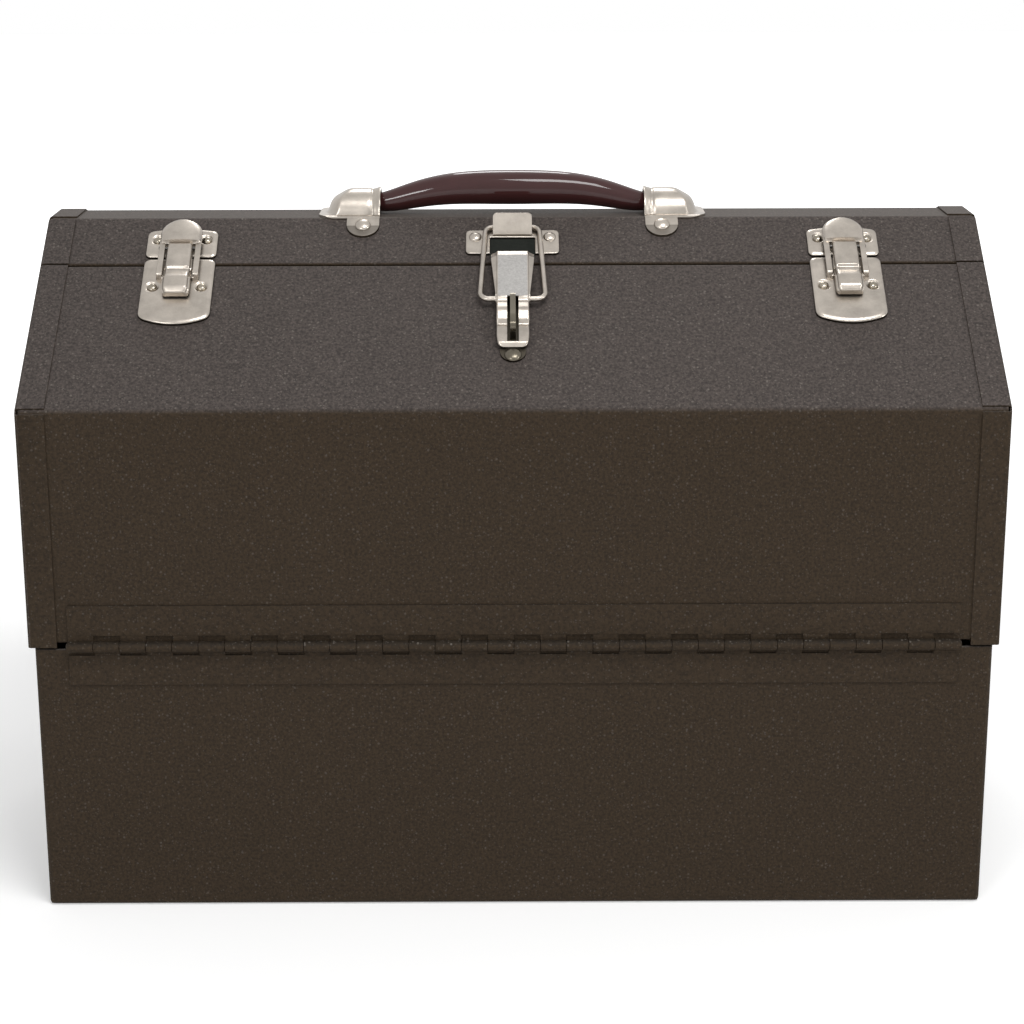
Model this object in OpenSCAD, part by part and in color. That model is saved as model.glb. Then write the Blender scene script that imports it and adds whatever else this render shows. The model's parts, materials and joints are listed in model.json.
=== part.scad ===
// Cantilever toolbox: a sheet-steel body, two roof-shaped lids on piano hinges, and four trays
// that the lids lift and carry outwards. X is the width, -Y the front and +Z up.
// The origin is on the floor, under the middle of the body.

/* [Box] */
// Width over the ends of the lids
lid_w = 467; // [430:1:500]
// How far each lid end stands out past the body
lid_overhang = 2.75; // [2.5:0.05:5]
// Depth over the front and rear walls
box_d = 248; // [236:1:280]
// Height of the body walls
body_h = 133.8; // [110:0.1:160]
// Height of the lids' upright walls above the body
lid_wall_h = 117.4; // [112:0.1:140]
// Height of the flat roof above the lids' upright walls
roof_rise = 74.5; // [60:0.5:90]
// Depth of the flat roof
roof_flat = 30; // [28:0.5:40]
// Distance from the split between the lids to the edge of the flat roof, level
split_back = 28; // [26:0.5:36]
// Thickness of the sheet steel
sheet_t = 0.9; // [0.7:0.05:1.2]
// Inside radius of a sheet bend
bend_r = 2.4; // [1.5:0.1:3]
// Depth of a turned edge
hem_h = 8; // [5:0.5:12]
// Width of the flanges that wrap the lids' edges
flange_w = 14; // [10:0.5:18]
// Notch between two flanges at a bend
flange_notch = 2.6; // [0.8:0.1:3]
// Gap between the two closed lids
split_gap = 1.1; // [0.8:0.1:2]
// How far the rear lid's support lip lies below the front lid's skin
lip_drop = 4.2; // [4:0.1:6]
// Gap between the lids' lower edge and the body
lid_gap = 1.2; // [1:0.1:2]

/* [Piano hinges] */
// Height of the hinge axis above the body wall
axis_rise = 2.3; // [1.8:0.1:3]
// Outside diameter of the knuckles
barrel_d = 5.3; // [4.6:0.1:6]
// Diameter of the hinge pin
hinge_pin_d = 3.4; // [2.4:0.1:3.4]
// Length of one knuckle with its gap
knuckle_pitch = 12.6; // [12:0.1:14]
// Height of each leaf from the axis
leaf_h = 20; // [14:0.5:26]
// Gap between neighbouring knuckles
knuckle_gap = 0.3; // [0.2:0.05:0.5]
// Radial clearance of every running fit
fit = 0.05; // [0.03:0.01:0.1]

/* [Trays] */
// How far the lids open
lid_open = 84; // [60:1:86]
// Distance from the hinge axis to the lower trays' pivots
lower_reach = 38; // [36:0.5:40]
// Distance from the hinge axis to the upper trays' pivots
upper_reach = 109; // [106:0.5:112]
// Drop of the swing arms' pivots
arm_drop = 8.5; // [8:0.5:10]
// Gap between the front and the rear trays
tray_mid_gap = 17.4; // [16:0.2:30]
// Gap from the hinge axis to the lower trays
lower_tray_gap = 12; // [11:0.5:16]
// Gap from the hinge axis to the upper trays
upper_tray_gap = 18; // [16:0.5:24]
// Height of a tray
tray_h = 46; // [30:0.5:47]
// Depth of a tray's floor below its outer pivot
tray_hang = 16; // [14:0.5:16]
// Thickness of the tray steel
tray_t = 0.8; // [0.6:0.05:1]
// Gap between a tray's end and the swing arm
tray_side_gap = 1.5; // [1.2:0.1:2]
// Thickness of a swing arm
arm_t = 1.5; // [1.2:0.1:2]
// Width of a swing arm
arm_w = 15; // [12:0.5:16]
// Gap between a swing arm and the body end
arm_side_gap = 1.95; // [1.8:0.05:2.5]
// Diameter of the tray and arm rivets
pivot_d = 5; // [4:0.1:6]
// Dividers in each upper tray
dividers = 2; // [1:1:3]

/* [Side latches] */
// Distance of each side latch from the lids' ends
latch_inset = 69.2; // [50:0.1:110]
// Width of a latch plate
latch_w = 35; // [34:0.5:40]
// Length of the latch plate below the split
latch_l = 43.7; // [38:0.1:46]
// How far the latch plate reaches past the split
latch_over = 2.6; // [1:0.1:3]
// Height of the pressed latch plates
pan_h = 2.2; // [2:0.1:2.6]
// Spacing of the two rivets on a plate
latch_rivet_gap = 24; // [22:0.5:26]
// Diameter of the hasp's half-round cap
cap_d = 20.6; // [18:0.1:22]
// Width of the latch lever
grip_w = 12.1; // [10:0.1:12.5]

/* [Centre latch] */
// Width of the keeper over its ears
keeper_w = 46.4; // [44:0.2:50]
// Width of the keeper's lip
lip_w = 19.4; // [16:0.2:20]
// Length of the keeper's lip
lip_l = 12.9; // [9:0.1:14]
// Diameter of the bail wire
bail_d = 2.7; // [2:0.1:2.8]
// Width of the draw lever at its pivot
lever_w = 20.8; // [18:0.2:22]

/* [Handle] */
// Distance of each handle rivet from the middle
bracket_x = 75; // [65:0.5:90]
// Height of the pressed brackets above the roof
bracket_h = 13; // [11:0.5:15]
// Diameter of the grip at its middle
grip_d = 17.4; // [14:0.1:20]
// Diameter of the grip at its ends
neck_d = 9.4; // [7:0.1:9.5]
// Height of the grip's middle above the roof
grip_rise = 13.2; // [12.8:0.1:22]

/* [Fasteners] */
// Diameter of a rivet head
rivet_d = 6.8; // [5:0.1:8]
// Height of a rivet head
rivet_h = 1.7; // [1:0.1:2.2]
// Diameter of a rivet shank
shank_d = 3.2; // [2.5:0.1:4]

/* [Hidden] */
$fn = 48;
eps = 0.02;
// Colours
skin_colour = [0.24, 0.20, 0.16];
tray_colour = [0.42, 0.40, 0.37];
nickel_colour = [0.75, 0.73, 0.69];
steel_colour = [0.6, 0.6, 0.6];
grip_colour = [0.23, 0.14, 0.15];

// Box
wall_y = box_d / 2;
body_w = lid_w - 2 * lid_overhang;
axis_z = body_h + axis_rise;
axis_y = wall_y + barrel_d / 2 + 0.05;
lid_z = body_h + lid_gap;
eave_z = body_h + lid_wall_h;
roof_z = eave_z + roof_rise;
roof_run = wall_y - roof_flat / 2;
split_run = roof_run - split_back;
pitch = atan(roof_rise / roof_run);
split_y = -wall_y + split_run;
split_z = eave_z + split_run * tan(pitch);
split_low_z = roof_z - (roof_z - lid_z) * 0.55;
hem_t = 2 * sheet_t + 0.2;
tight_r = 0.1;
edge_r = 2 * sheet_t;
skin_w = lid_w - 2 * edge_r;
end_x = lid_w / 2;
body_end_x = body_w / 2 - sheet_t;
corner_r = bend_r + sheet_t;
lid_sheet_z = axis_z + 1.2;

// Piano hinges
knuckles = 2 * floor((lid_w - 2 * flange_w - 6) / (2 * knuckle_pitch));
hinge_l = knuckle_pitch * knuckles;
barrel_r = barrel_d / 2;
leaf_t = sheet_t;
leaf_cut = barrel_r + 2.2;

// Trays and swing arms, as places measured inwards and upwards from a hinge axis
start_angle = 90 - lid_open / 2;
toward = [cos(start_angle), sin(start_angle)];
lower_pin = lower_reach * toward;
upper_pin = upper_reach * toward;
tray_inner = axis_y - tray_mid_gap / 2;
arm_shift = tray_inner - upper_pin[0] - 7;
arm_offset = [arm_shift, -arm_drop];
arm_in_x = body_end_x - sheet_t - arm_side_gap;
tray_x = arm_in_x - arm_t - tray_side_gap;
hole_r = pivot_d / 2 + fit;
shoulder_r = pivot_d / 2 + 1.3;
end_hem_l = 2 * (axis_y - arm_shift - shoulder_r - 3);
head_t = 1.2;
play = 0.1;

// Side latches, in the slope's own frame: y up the slope from the split, z out of it
latch_x = lid_w / 2 - latch_inset;
latch_rivet_y = -17.3;
strike_y0 = latch_over + 1.6;
strike_y1 = strike_y0 + 20.6;
strike_rivet_y = 16.2;
hasp_axis = [-11.8, pan_h];
hasp_pin_d = 1.6;
rail_w = 3;
rail_in = cap_d / 2 - rail_w;
rail_t = 1.2;
rail_z = pan_h + 2;
cap_y = 16.4;
cap_cut_y = 9.8;
grip_axis = [7, rail_z + rail_t / 2];
grip_pin_d = 1.8;
grip_barrel_r = 2.4;
grip_top_z = grip_axis[1] + grip_barrel_r;
grip_end_y = -25.2;
grip_low_z = pan_h + 1.3;

// Centre latch, in the same frame
keeper_y0 = 6.2;
keeper_y1 = 23;
keeper_t = 1.3;
keeper_rivet = [18.5, 17.9];
lip_y = 18.8;
lip_tilt = 72;
lever_axis = [-0.5, 4.3];
bail_axis = [-29, 4.5];
bail_top = [22.9, 2.95];
bail_top_x = 13.3;
bail_low_x = 16;
lever_face_z = 7.6;
lever_t = 1.1;
lever_low_w = 15.8;
prong_in = 2.8;
lever_tip_y = -59.5;
base_end_y = -67;
strap_top_y = -26;
strap_neck_y = -34;
strap_half = 6.2;
base_rivet_y = -63.2;
base_t = 1.1;
eye_t = 2.7;
lever_pin_d = 2;
ear_in = lever_w / 2 - lever_t - 0.9;
padlock_eye = [-48.5, 6.9];
padlock_r = 2.7;
base_rivet_d = 8.4;

// Handle
tab_w = 16.5;
tab_rivet_drop = 6.6;
bracket_in = bracket_x - tab_w / 2;
bracket_out = bracket_in + 30.9;
bracket_t = 1.1;
neck_z = 5.9;

// Two-number vectors and turns
function flat(p) = [p[0], p[1]];
function unit(v) = v / norm(v);
function left(v) = [-v[1], v[0]];
function right(v) = [v[1], -v[0]];
function spun(v, a) = [v[0] * cos(a) - v[1] * sin(a), v[0] * sin(a) + v[1] * cos(a)];
function turn(a, b) = atan2(a[0] * b[1] - a[1] * b[0], a * b);

// Points of one bend at corner b: inside radius r, sheet thickness t, o from the path's face
function bend(a, b, c, t, o) =
    let (d1 = unit(flat(b) - flat(a)), d2 = unit(flat(c) - flat(b)), g = turn(d1, d2))
    let (side = g < 0 ? -1 : 1, r0 = side > 0 ? b[2] : b[2] + t, n = max(2, ceil(abs(g) / 15)))
    let (centre = flat(b) - d1 * r0 * tan(abs(g) / 2) + side * r0 * left(d1))
    [for (k = [0:n]) centre - spun(side * left(d1) * (r0 + side * o), g * k / n)];

// One face of a sheet that follows the corners p, at the distance o to the right of them
function fold_face(p, t, o) = [
    for (i = [0:len(p) - 1]) each
        i == 0 ? [flat(p[0]) + o * right(unit(flat(p[1]) - flat(p[0])))]
        : i == len(p) - 1 ? [flat(p[i]) + o * right(unit(flat(p[i]) - flat(p[i - 1])))]
        : bend(p[i - 1], p[i], p[i + 1], t, o)
];

// Section of a folded sheet: its outer face follows p, whose third numbers are bend radii
module folded(p, t = sheet_t) {
    near = fold_face(p, t, 0);
    far = fold_face(p, t, t);
    polygon(concat(near, [for (i = [len(far) - 1:-1:0]) far[i]]));
}

// Closed outline with a rounding radius as each corner's third number
function rounded(p) = [
    for (i = [0:len(p) - 1]) each
        let (a = p[(i + len(p) - 1) % len(p)], b = p[i], c = p[(i + 1) % len(p)])
        b[2] > 0 ? bend(a, [b[0], b[1], b[2]], c, 0, 0) : [flat(b)]
];

// A (y, z) section drawn out along X, between -w/2 and w/2
module along_x(w) {
    rotate([90, 0, 90]) translate([0, 0, -w / 2]) linear_extrude(w) children();
}

// A (x, z) section drawn out along Y, between -d/2 and d/2
module along_y(d) {
    rotate([90, 0, 0]) translate([0, 0, -d / 2]) linear_extrude(d) children();
}

module bar_x(x0, x1, r) {
    translate([x0, 0, 0]) rotate([0, 90, 0]) cylinder(r = r, h = x1 - x0);
}

module at_front_axis() {
    translate([0, -axis_y, axis_z]) children();
}

module rear() {
    mirror([0, 1, 0]) children();
}

module left_side() {
    mirror([1, 0, 0]) children();
}

// Front slope: x along the box, y up the slope from the split, z out of the sheet
module on_slope() {
    translate([0, split_y, split_z]) rotate([pitch, 0, 0]) children();
}

function slope_point(u, n, r) = [
    split_y + u * cos(pitch) - n * sin(pitch),
    split_z + u * sin(pitch) + n * cos(pitch),
    r
];

module dome(d, h) {
    ball_r = (d * d / 4 + h * h) / (2 * h);
    intersection() {
        translate([0, 0, h - ball_r]) sphere(ball_r, $fn = 64);
        cylinder(d = d, h = h);
    }
}

// Domed rivet: the head stands on z = 0, the shank goes down to a flat tail
module rivet(grip, d = rivet_d, h = rivet_h) {
    dome(d, h);
    translate([0, 0, -grip - 0.8]) cylinder(d = shank_d, h = grip + 0.8 + eps);
    translate([0, 0, -grip - 0.8]) cylinder(d = shank_d + 2, h = 0.8);
}

// Open-topped pan with rounded corners
module pan_block(w, d, h, r) {
    intersection() {
        linear_extrude(h) polygon(rounded([
            [-w / 2, -d / 2, r], [w / 2, -d / 2, r], [w / 2, d / 2, r], [-w / 2, d / 2, r]]));
        along_x(w + 2) polygon(rounded([[-d / 2, 0, r], [d / 2, 0, r], [d / 2, h, 0], [-d / 2, h, 0]]));
        along_y(d + 2) polygon(rounded([[-w / 2, 0, r], [w / 2, 0, r], [w / 2, h, 0], [-w / 2, h, 0]]));
    }
}

module pan(w, d, h, t, r, rim_t, rim_h) {
    difference() {
        pan_block(w, d, h, r);
        translate([0, 0, t]) pan_block(w - 2 * t, d - 2 * t, h - t - rim_h, r - t);
        translate([-w / 2 + rim_t, -d / 2 + rim_t, h - rim_h - eps])
            cube([w - 2 * rim_t, d - 2 * rim_t, rim_h + 1]);
    }
}

// Body

module body_shell() {
    color(skin_colour) difference() {
        pan(body_w, box_d, body_h, sheet_t, corner_r, hem_t, hem_h);
        for (s = [-1, 1]) {
            translate([s * body_w / 2, 0, flange_w + body_h / 2]) cube([10, box_d - 2 * flange_w, body_h], true);
            translate([s * (body_w / 2 - sheet_t - 5), 0, body_h])
                cube([10, box_d - 2 * corner_r, 2 * hem_h + 1], true);
        }
    }
}

module body_end_right() {
    color(skin_colour) difference() {
        translate([body_end_x, 0, 0]) union() {
            translate([-sheet_t, -wall_y + corner_r, corner_r])
                cube([sheet_t, box_d - 2 * corner_r, body_h - corner_r]);
            translate([-hem_t, -end_hem_l / 2, body_h - hem_h]) cube([hem_t, end_hem_l, hem_h]);
        }
        for (s = [0, 1]) mirror([0, s, 0]) at_front_axis()
            translate([0, arm_offset[0], arm_offset[1]]) bar_x(0, end_x, hole_r);
    }
}

module body_end_left() {
    left_side() body_end_right();
}

// Piano hinges: every other knuckle belongs to the same leaf, counted from the left

module leaf_knuckles(first) {
    for (k = [first:2:knuckles - 1])
        translate([-hinge_l / 2 + knuckle_gap / 2 + k * knuckle_pitch, 0, 0])
            rotate([90, 0, 90]) linear_extrude(knuckle_pitch - knuckle_gap) difference() {
                union() {
                    circle(barrel_r);
                    translate([barrel_r - leaf_t, 0]) square([leaf_t, leaf_cut + 1]);
                }
                circle(hinge_pin_d / 2 + fit);
            }
}

module upper_leaf() {
    color(skin_colour) at_front_axis() {
        leaf_knuckles(0);
        translate([-hinge_l / 2 + knuckle_gap / 2, barrel_r - leaf_t, leaf_cut])
            cube([hinge_l - knuckle_gap, leaf_t, leaf_h - leaf_cut]);
    }
}

module lower_leaf() {
    color(skin_colour) at_front_axis() mirror([0, 0, 1]) {
        leaf_knuckles(1);
        translate([-hinge_l / 2 + knuckle_gap / 2, barrel_r - leaf_t, leaf_cut])
            cube([hinge_l - knuckle_gap, leaf_t, leaf_h - leaf_cut]);
    }
}

module hinge_pin() {
    color(steel_colour) at_front_axis() bar_x(-hinge_l / 2 - 0.4, hinge_l / 2 + 0.4, hinge_pin_d / 2);
}

module front_hinge_lower_leaf() {
    lower_leaf();
}

module rear_hinge_lower_leaf() {
    rear() lower_leaf();
}

module front_hinge_pin() {
    hinge_pin();
}

module rear_hinge_pin() {
    rear() hinge_pin();
}

module front_hinge_upper_leaf() {
    upper_leaf();
}

module rear_hinge_upper_leaf() {
    rear() upper_leaf();
}

// Lids

module front_lid_panel() {
    inner = wall_y - hem_t;
    color(skin_colour) difference() {
        along_x(skin_w) folded([
            [-inner, lid_sheet_z + hem_h, 0],
            [-inner, lid_sheet_z, tight_r],
            [-wall_y, lid_sheet_z, tight_r],
            [-wall_y, eave_z, bend_r],
            slope_point(-split_gap / 2, 0, tight_r),
            slope_point(-split_gap / 2, -hem_t, tight_r),
            slope_point(-split_gap / 2 - hem_h, -hem_t, 0)
        ]);
        on_slope() {
            translate([0, base_rivet_y, -5]) cylinder(d = shank_d, h = 10);
            for (s = [-1, 1], f = [-1, 1])
                translate([s * latch_x + f * latch_rivet_gap / 2, latch_rivet_y, -5]) cylinder(d = shank_d, h = 10);
        }
    }
}

module rear_lid_panel() {
    inner = wall_y - hem_t;
    color(skin_colour) difference() {
        along_x(skin_w) folded([
            slope_point(-hem_h - 1, -lip_drop, 0),
            slope_point(split_gap / 2, -lip_drop, 0.6),
            slope_point(split_gap / 2, 0, 0.3),
            [-roof_flat / 2, roof_z, bend_r],
            [roof_flat / 2, roof_z, bend_r],
            [wall_y, eave_z, bend_r],
            [wall_y, lid_sheet_z, tight_r],
            [inner, lid_sheet_z, tight_r],
            [inner, lid_sheet_z + hem_h, 0]
        ]);
        for (s = [-1, 1], f = [0, 1]) mirror([0, f, 0]) on_slope()
            translate([s * bracket_x, bracket_rivet_y, -5]) cylinder(d = shank_d, h = 10);
        on_slope() for (s = [-1, 1]) {
            translate([s * keeper_rivet[0], keeper_rivet[1], -5]) cylinder(d = shank_d, h = 10);
            for (f = [-1, 1])
                translate([s * latch_x + f * latch_rivet_gap / 2, strike_rivet_y, -5]) cylinder(d = shank_d, h = 10);
        }
    }
}

// Right-hand flange along one straight edge of a lid end, from p to q on the skin's face
module flange_edge(p, q) {
    d = q - p;
    run = norm(d) - flange_notch;
    angle = atan2(d[1], d[0]);
    translate([0, p[0], p[1]]) rotate([angle - 90, 0, 0])
        translate([0, 0, flange_notch / 2]) linear_extrude(run) {
            translate([end_x - flange_w, -sheet_t]) square([flange_w - edge_r, sheet_t]);
            translate([end_x - sheet_t, edge_r - sheet_t]) square([sheet_t, 1]);
            translate([end_x - edge_r, edge_r - sheet_t]) intersection() {
                difference() {
                    circle(edge_r);
                    circle(edge_r - sheet_t);
                }
                translate([0, -edge_r]) square(edge_r);
            }
        }
}

function inset(p, d1, d2) = p + (right(d1) + right(d2)) * sheet_t / (1 + right(d1) * right(d2));

slope_dir = [cos(pitch), sin(pitch)];
slope_down = [cos(pitch), -sin(pitch)];
foot_f = [-wall_y, lid_z];
eave_f = [-wall_y, eave_z];
split_p = [split_y, split_z];
roof_f = [-roof_flat / 2, roof_z];
roof_r = [roof_flat / 2, roof_z];
eave_r = [wall_y, eave_z];
foot_r = [wall_y, lid_z];
split_half = split_gap / 2;
split_low = [0, split_low_z];

module end_plate(outline) {
    translate([end_x - sheet_t, 0, 0]) rotate([90, 0, 90]) linear_extrude(sheet_t) polygon(rounded(outline));
}

module tray_pivot_holes() {
    for (pin = [lower_pin, upper_pin])
        at_front_axis() translate([0, pin[0], pin[1]]) bar_x(tray_x, end_x + 5, hole_r);
}

module front_lid_end_right() {
    eave_in = inset(eave_f, [0, 1], slope_dir);
    split_in = split_p - slope_dir * split_half + right(slope_dir) * sheet_t;
    color(skin_colour) difference() {
        union() {
            end_plate([
                [-wall_y + sheet_t, lid_z, 0],
                [eave_in[0], eave_in[1], bend_r],
                [split_in[0], split_in[1], 0],
                [-split_half, split_low_z, 6],
                [-split_half, lid_z, 0]
            ]);
            flange_edge(foot_f - [0, flange_notch / 2], eave_f);
            flange_edge(eave_f, split_p - slope_dir * (split_half - flange_notch / 2));
        }
        tray_pivot_holes();
    }
}

module front_lid_end_left() {
    left_side() front_lid_end_right();
}

module rear_lid_end_right() {
    roof_f_in = inset(roof_f, slope_dir, [1, 0]);
    roof_r_in = inset(roof_r, [1, 0], slope_down);
    eave_in = inset(eave_r, slope_down, [0, -1]);
    split_in = split_p + slope_dir * split_half + right(slope_dir) * sheet_t;
    color(skin_colour) difference() {
        union() {
            end_plate([
                [split_half, lid_z, 0],
                [split_half, split_low_z, 6],
                [split_in[0], split_in[1], 0],
                [roof_f_in[0], roof_f_in[1], bend_r],
                [roof_r_in[0], roof_r_in[1], bend_r],
                [eave_in[0], eave_in[1], bend_r],
                [wall_y - sheet_t, lid_z, 0]
            ]);
            flange_edge(split_p + slope_dir * (split_half - flange_notch / 2), roof_f);
            flange_edge(roof_f, roof_r);
            flange_edge(roof_r, eave_r);
            flange_edge(eave_r, foot_r - [0, flange_notch / 2]);
        }
        rear() tray_pivot_holes();
    }
}

module rear_lid_end_left() {
    left_side() rear_lid_end_right();
}

// Trays and swing arms

module both_sides() {
    children();
    mirror([1, 0, 0]) children();
}

// Shouldered rivet through a lid end and a tray end
module tray_pivot() {
    inside = tray_x - tray_t - play;
    bar_x(inside, end_x, pivot_d / 2);
    bar_x(tray_x + play, end_x - sheet_t, shoulder_r);
    bar_x(inside - head_t, inside, shoulder_r);
    translate([end_x, 0, 0]) rotate([0, 90, 0]) dome(2 * shoulder_r, head_t);
}

module tray_pivots() {
    color(steel_colour) both_sides() at_front_axis() for (pin = [lower_pin, upper_pin])
        translate([0, pin[0], pin[1]]) tray_pivot();
}

module front_tray_pivots() {
    tray_pivots();
}

module rear_tray_pivots() {
    rear() tray_pivots();
}

// Rivet that carries a swing arm on the body end
module arm_pivot() {
    inner = arm_in_x - arm_t - play;
    bar_x(inner, body_end_x, pivot_d / 2);
    bar_x(arm_in_x + play, body_end_x - sheet_t, shoulder_r);
    translate([inner, 0, 0]) rotate([0, -90, 0]) dome(2 * shoulder_r, head_t);
    translate([body_end_x, 0, 0]) rotate([0, 90, 0]) dome(2 * shoulder_r, head_t);
}

module arm_pivot_rivets() {
    color(steel_colour) both_sides() for (s = [0, 1]) mirror([0, s, 0]) at_front_axis()
        translate([0, arm_offset[0], arm_offset[1]]) arm_pivot();
}

// Rivet that joins a tray end to its swing arm
module arm_rivet(pin) {
    at_front_axis() translate([0, pin[0] + arm_offset[0], pin[1] + arm_offset[1]]) {
        bar_x(tray_x - tray_t, arm_in_x + play, pivot_d / 2);
        bar_x(tray_x, arm_in_x - arm_t - play, shoulder_r);
        bar_x(tray_x - tray_t - head_t, tray_x - tray_t, shoulder_r);
        bar_x(arm_in_x + play, arm_in_x + play + head_t, shoulder_r);
    }
}

module arm_rivets(pin) {
    color(steel_colour) both_sides() arm_rivet(pin);
}

module front_lower_arm_rivets() {
    arm_rivets(lower_pin);
}

module front_upper_arm_rivets() {
    arm_rivets(upper_pin);
}

module rear_lower_arm_rivets() {
    rear() arm_rivets(lower_pin);
}

module rear_upper_arm_rivets() {
    rear() arm_rivets(upper_pin);
}

module swing_arm() {
    w = arm_w / 2;
    r = w - 0.05;
    at_front_axis() translate([arm_in_x - arm_t, arm_offset[0], arm_offset[1]])
        rotate([90, 0, 90]) linear_extrude(arm_t) difference() {
            rotate(start_angle) polygon(rounded([
                [-w, -w, r], [upper_reach + w, -w, r], [upper_reach + w, w, r], [-w, w, r]]));
            circle(hole_r);
            translate(lower_pin) circle(hole_r);
            translate(upper_pin) circle(hole_r);
        }
}

module front_swing_arms() {
    color(steel_colour) both_sides() swing_arm();
}

module rear_swing_arms() {
    rear() front_swing_arms();
}

// Tray with its outer wall at gap from the hinge axis, hung from its outer pivot
module tray(pin, gap) {
    depth = tray_inner - gap;
    color(tray_colour) difference() {
        at_front_axis() translate([0, gap + depth / 2, pin[1] - tray_hang])
            pan(2 * tray_x, depth, tray_h, tray_t, corner_r, hem_t, hem_h * 0.75);
        for (place = [pin, pin + arm_offset])
            at_front_axis() translate([0, place[0], place[1]]) bar_x(-end_x, end_x, hole_r);
    }
}

module front_lower_tray() {
    tray(lower_pin, lower_tray_gap);
}

module front_upper_tray() {
    tray(upper_pin, upper_tray_gap);
}

module rear_lower_tray() {
    rear() tray(lower_pin, lower_tray_gap);
}

module rear_upper_tray() {
    rear() tray(upper_pin, upper_tray_gap);
}

// Cross dividers spot-welded into an upper tray, each with a turned foot
module tray_dividers() {
    depth = tray_inner - upper_tray_gap - 2 * tray_t;
    divider_h = tray_h - hem_h - 4;
    color(tray_colour) for (i = [1:dividers])
        at_front_axis() translate([
            -tray_x + 2 * tray_x * i / (dividers + 1),
            upper_tray_gap + tray_t,
            upper_pin[1] - tray_hang + tray_t
        ]) difference() {
            union() {
                cube([tray_t, depth, divider_h]);
                translate([0, corner_r, 0]) cube([10, depth - 2 * corner_r, tray_t]);
            }
            for (y = [0, depth]) translate([-1, y, 0]) rotate([45, 0, 0]) cube([12, 3.6, 3.6], true);
        }
}

module front_tray_dividers() {
    tray_dividers();
}

module rear_tray_dividers() {
    rear() tray_dividers();
}

// Side latches

// Pressed plate with a raised face, hollow behind, and two dimpled rivet seats
module pressed_plate(outline, inner, seats_y, h) {
    seat_r = rivet_d / 2 + 1;
    difference() {
        linear_extrude(h) polygon(rounded(outline));
        difference() {
            translate([0, 0, -1]) linear_extrude(h - sheet_t + 1) polygon(rounded(inner));
            for (s = [-1, 1]) translate([s * latch_rivet_gap / 2, seats_y, -2]) cylinder(r = seat_r + 0.8, h = h);
        }
        for (s = [-1, 1]) translate([s * latch_rivet_gap / 2, seats_y, 0]) {
            translate([0, 0, h - 0.7]) cylinder(r = seat_r, h = 2);
            translate([0, 0, -1]) cylinder(d = shank_d, h = h + 2);
        }
    }
}

module latch_base() {
    w = latch_w / 2;
    top = latch_over;
    low = -latch_l;
    lug_x = [3.4, 5.6];
    color(nickel_colour) difference() {
        union() {
            pressed_plate(
                [[-w, top, 3], [-w, low + 7, 4], [0, low - 1.6, 34], [w, low + 7, 4], [w, top, 3]],
                [[-w + sheet_t, top + 2, 0], [-w + sheet_t, low + 7.4, 3.2], [0, low - 0.7, 33],
                    [w - sheet_t, low + 7.4, 3.2], [w - sheet_t, top + 2, 0]],
                latch_rivet_y, pan_h);
            for (s = [-1, 1]) translate([s * (lug_x[0] + lug_x[1]) / 2, hasp_axis[0], pan_h / 2 + 0.55])
                cube([lug_x[1] - lug_x[0], 3.4, pan_h - 0.1], true);
        }
        for (s = [-1, 1]) translate([s * (rail_in + rail_w / 2), hasp_axis[0], 0])
            cube([rail_w + 0.8, 4.4, 20], true);
        translate([0, hasp_axis[0], hasp_axis[1]]) bar_x(-w, w, hasp_pin_d / 2 + fit);
        translate([-w, split_half, -1]) cube([2 * w, top, 1.9]);
    }
}

module at_latch(s) {
    on_slope() translate([s * latch_x, 0, 0]) children();
}

module latch_base_left() {
    at_latch(-1) latch_base();
}

module latch_base_right() {
    at_latch(1) latch_base();
}

module plate_rivets(y, h) {
    for (s = [-1, 1]) translate([s * latch_rivet_gap / 2, y, h - 0.7]) rivet(h - 0.7 + sheet_t);
}

module latch_base_rivets() {
    color(nickel_colour) for (s = [-1, 1]) at_latch(s) plate_rivets(latch_rivet_y, pan_h);
}

module strike() {
    w = latch_w / 2;
    color(nickel_colour) {
        difference() {
            pressed_plate(
                [[-w, strike_y0, 2.6], [w, strike_y0, 2.6], [w, strike_y1 - 2, 3], [0, strike_y1 + 0.7, 30],
                    [-w, strike_y1 - 2, 3]],
                [[-w + sheet_t, strike_y0 + sheet_t, 2], [w - sheet_t, strike_y0 + sheet_t, 2],
                    [w - sheet_t, strike_y1 - 2.6, 2.4], [0, strike_y1 - 0.2, 30], [-w + sheet_t, strike_y1 - 2.6, 2.4]],
                strike_rivet_y, pan_h - 0.2);
        }
        translate([-4, cap_y - 3, pan_h - 0.2 - eps]) cube([8, 3, 1.5]);
    }
}

module strike_left() {
    at_latch(-1) strike();
}

module strike_right() {
    at_latch(1) strike();
}

module strike_rivets() {
    color(nickel_colour) for (s = [-1, 1]) at_latch(s) plate_rivets(strike_rivet_y, pan_h - 0.2);
}

module hasp_pin() {
    color(steel_colour) translate([0, hasp_axis[0], hasp_axis[1]])
        bar_x(-rail_in - rail_w - 0.2, rail_in + rail_w + 0.2, hasp_pin_d / 2);
}

module hasp_pin_left() {
    at_latch(-1) hasp_pin();
}

module hasp_pin_right() {
    at_latch(1) hasp_pin();
}

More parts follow.
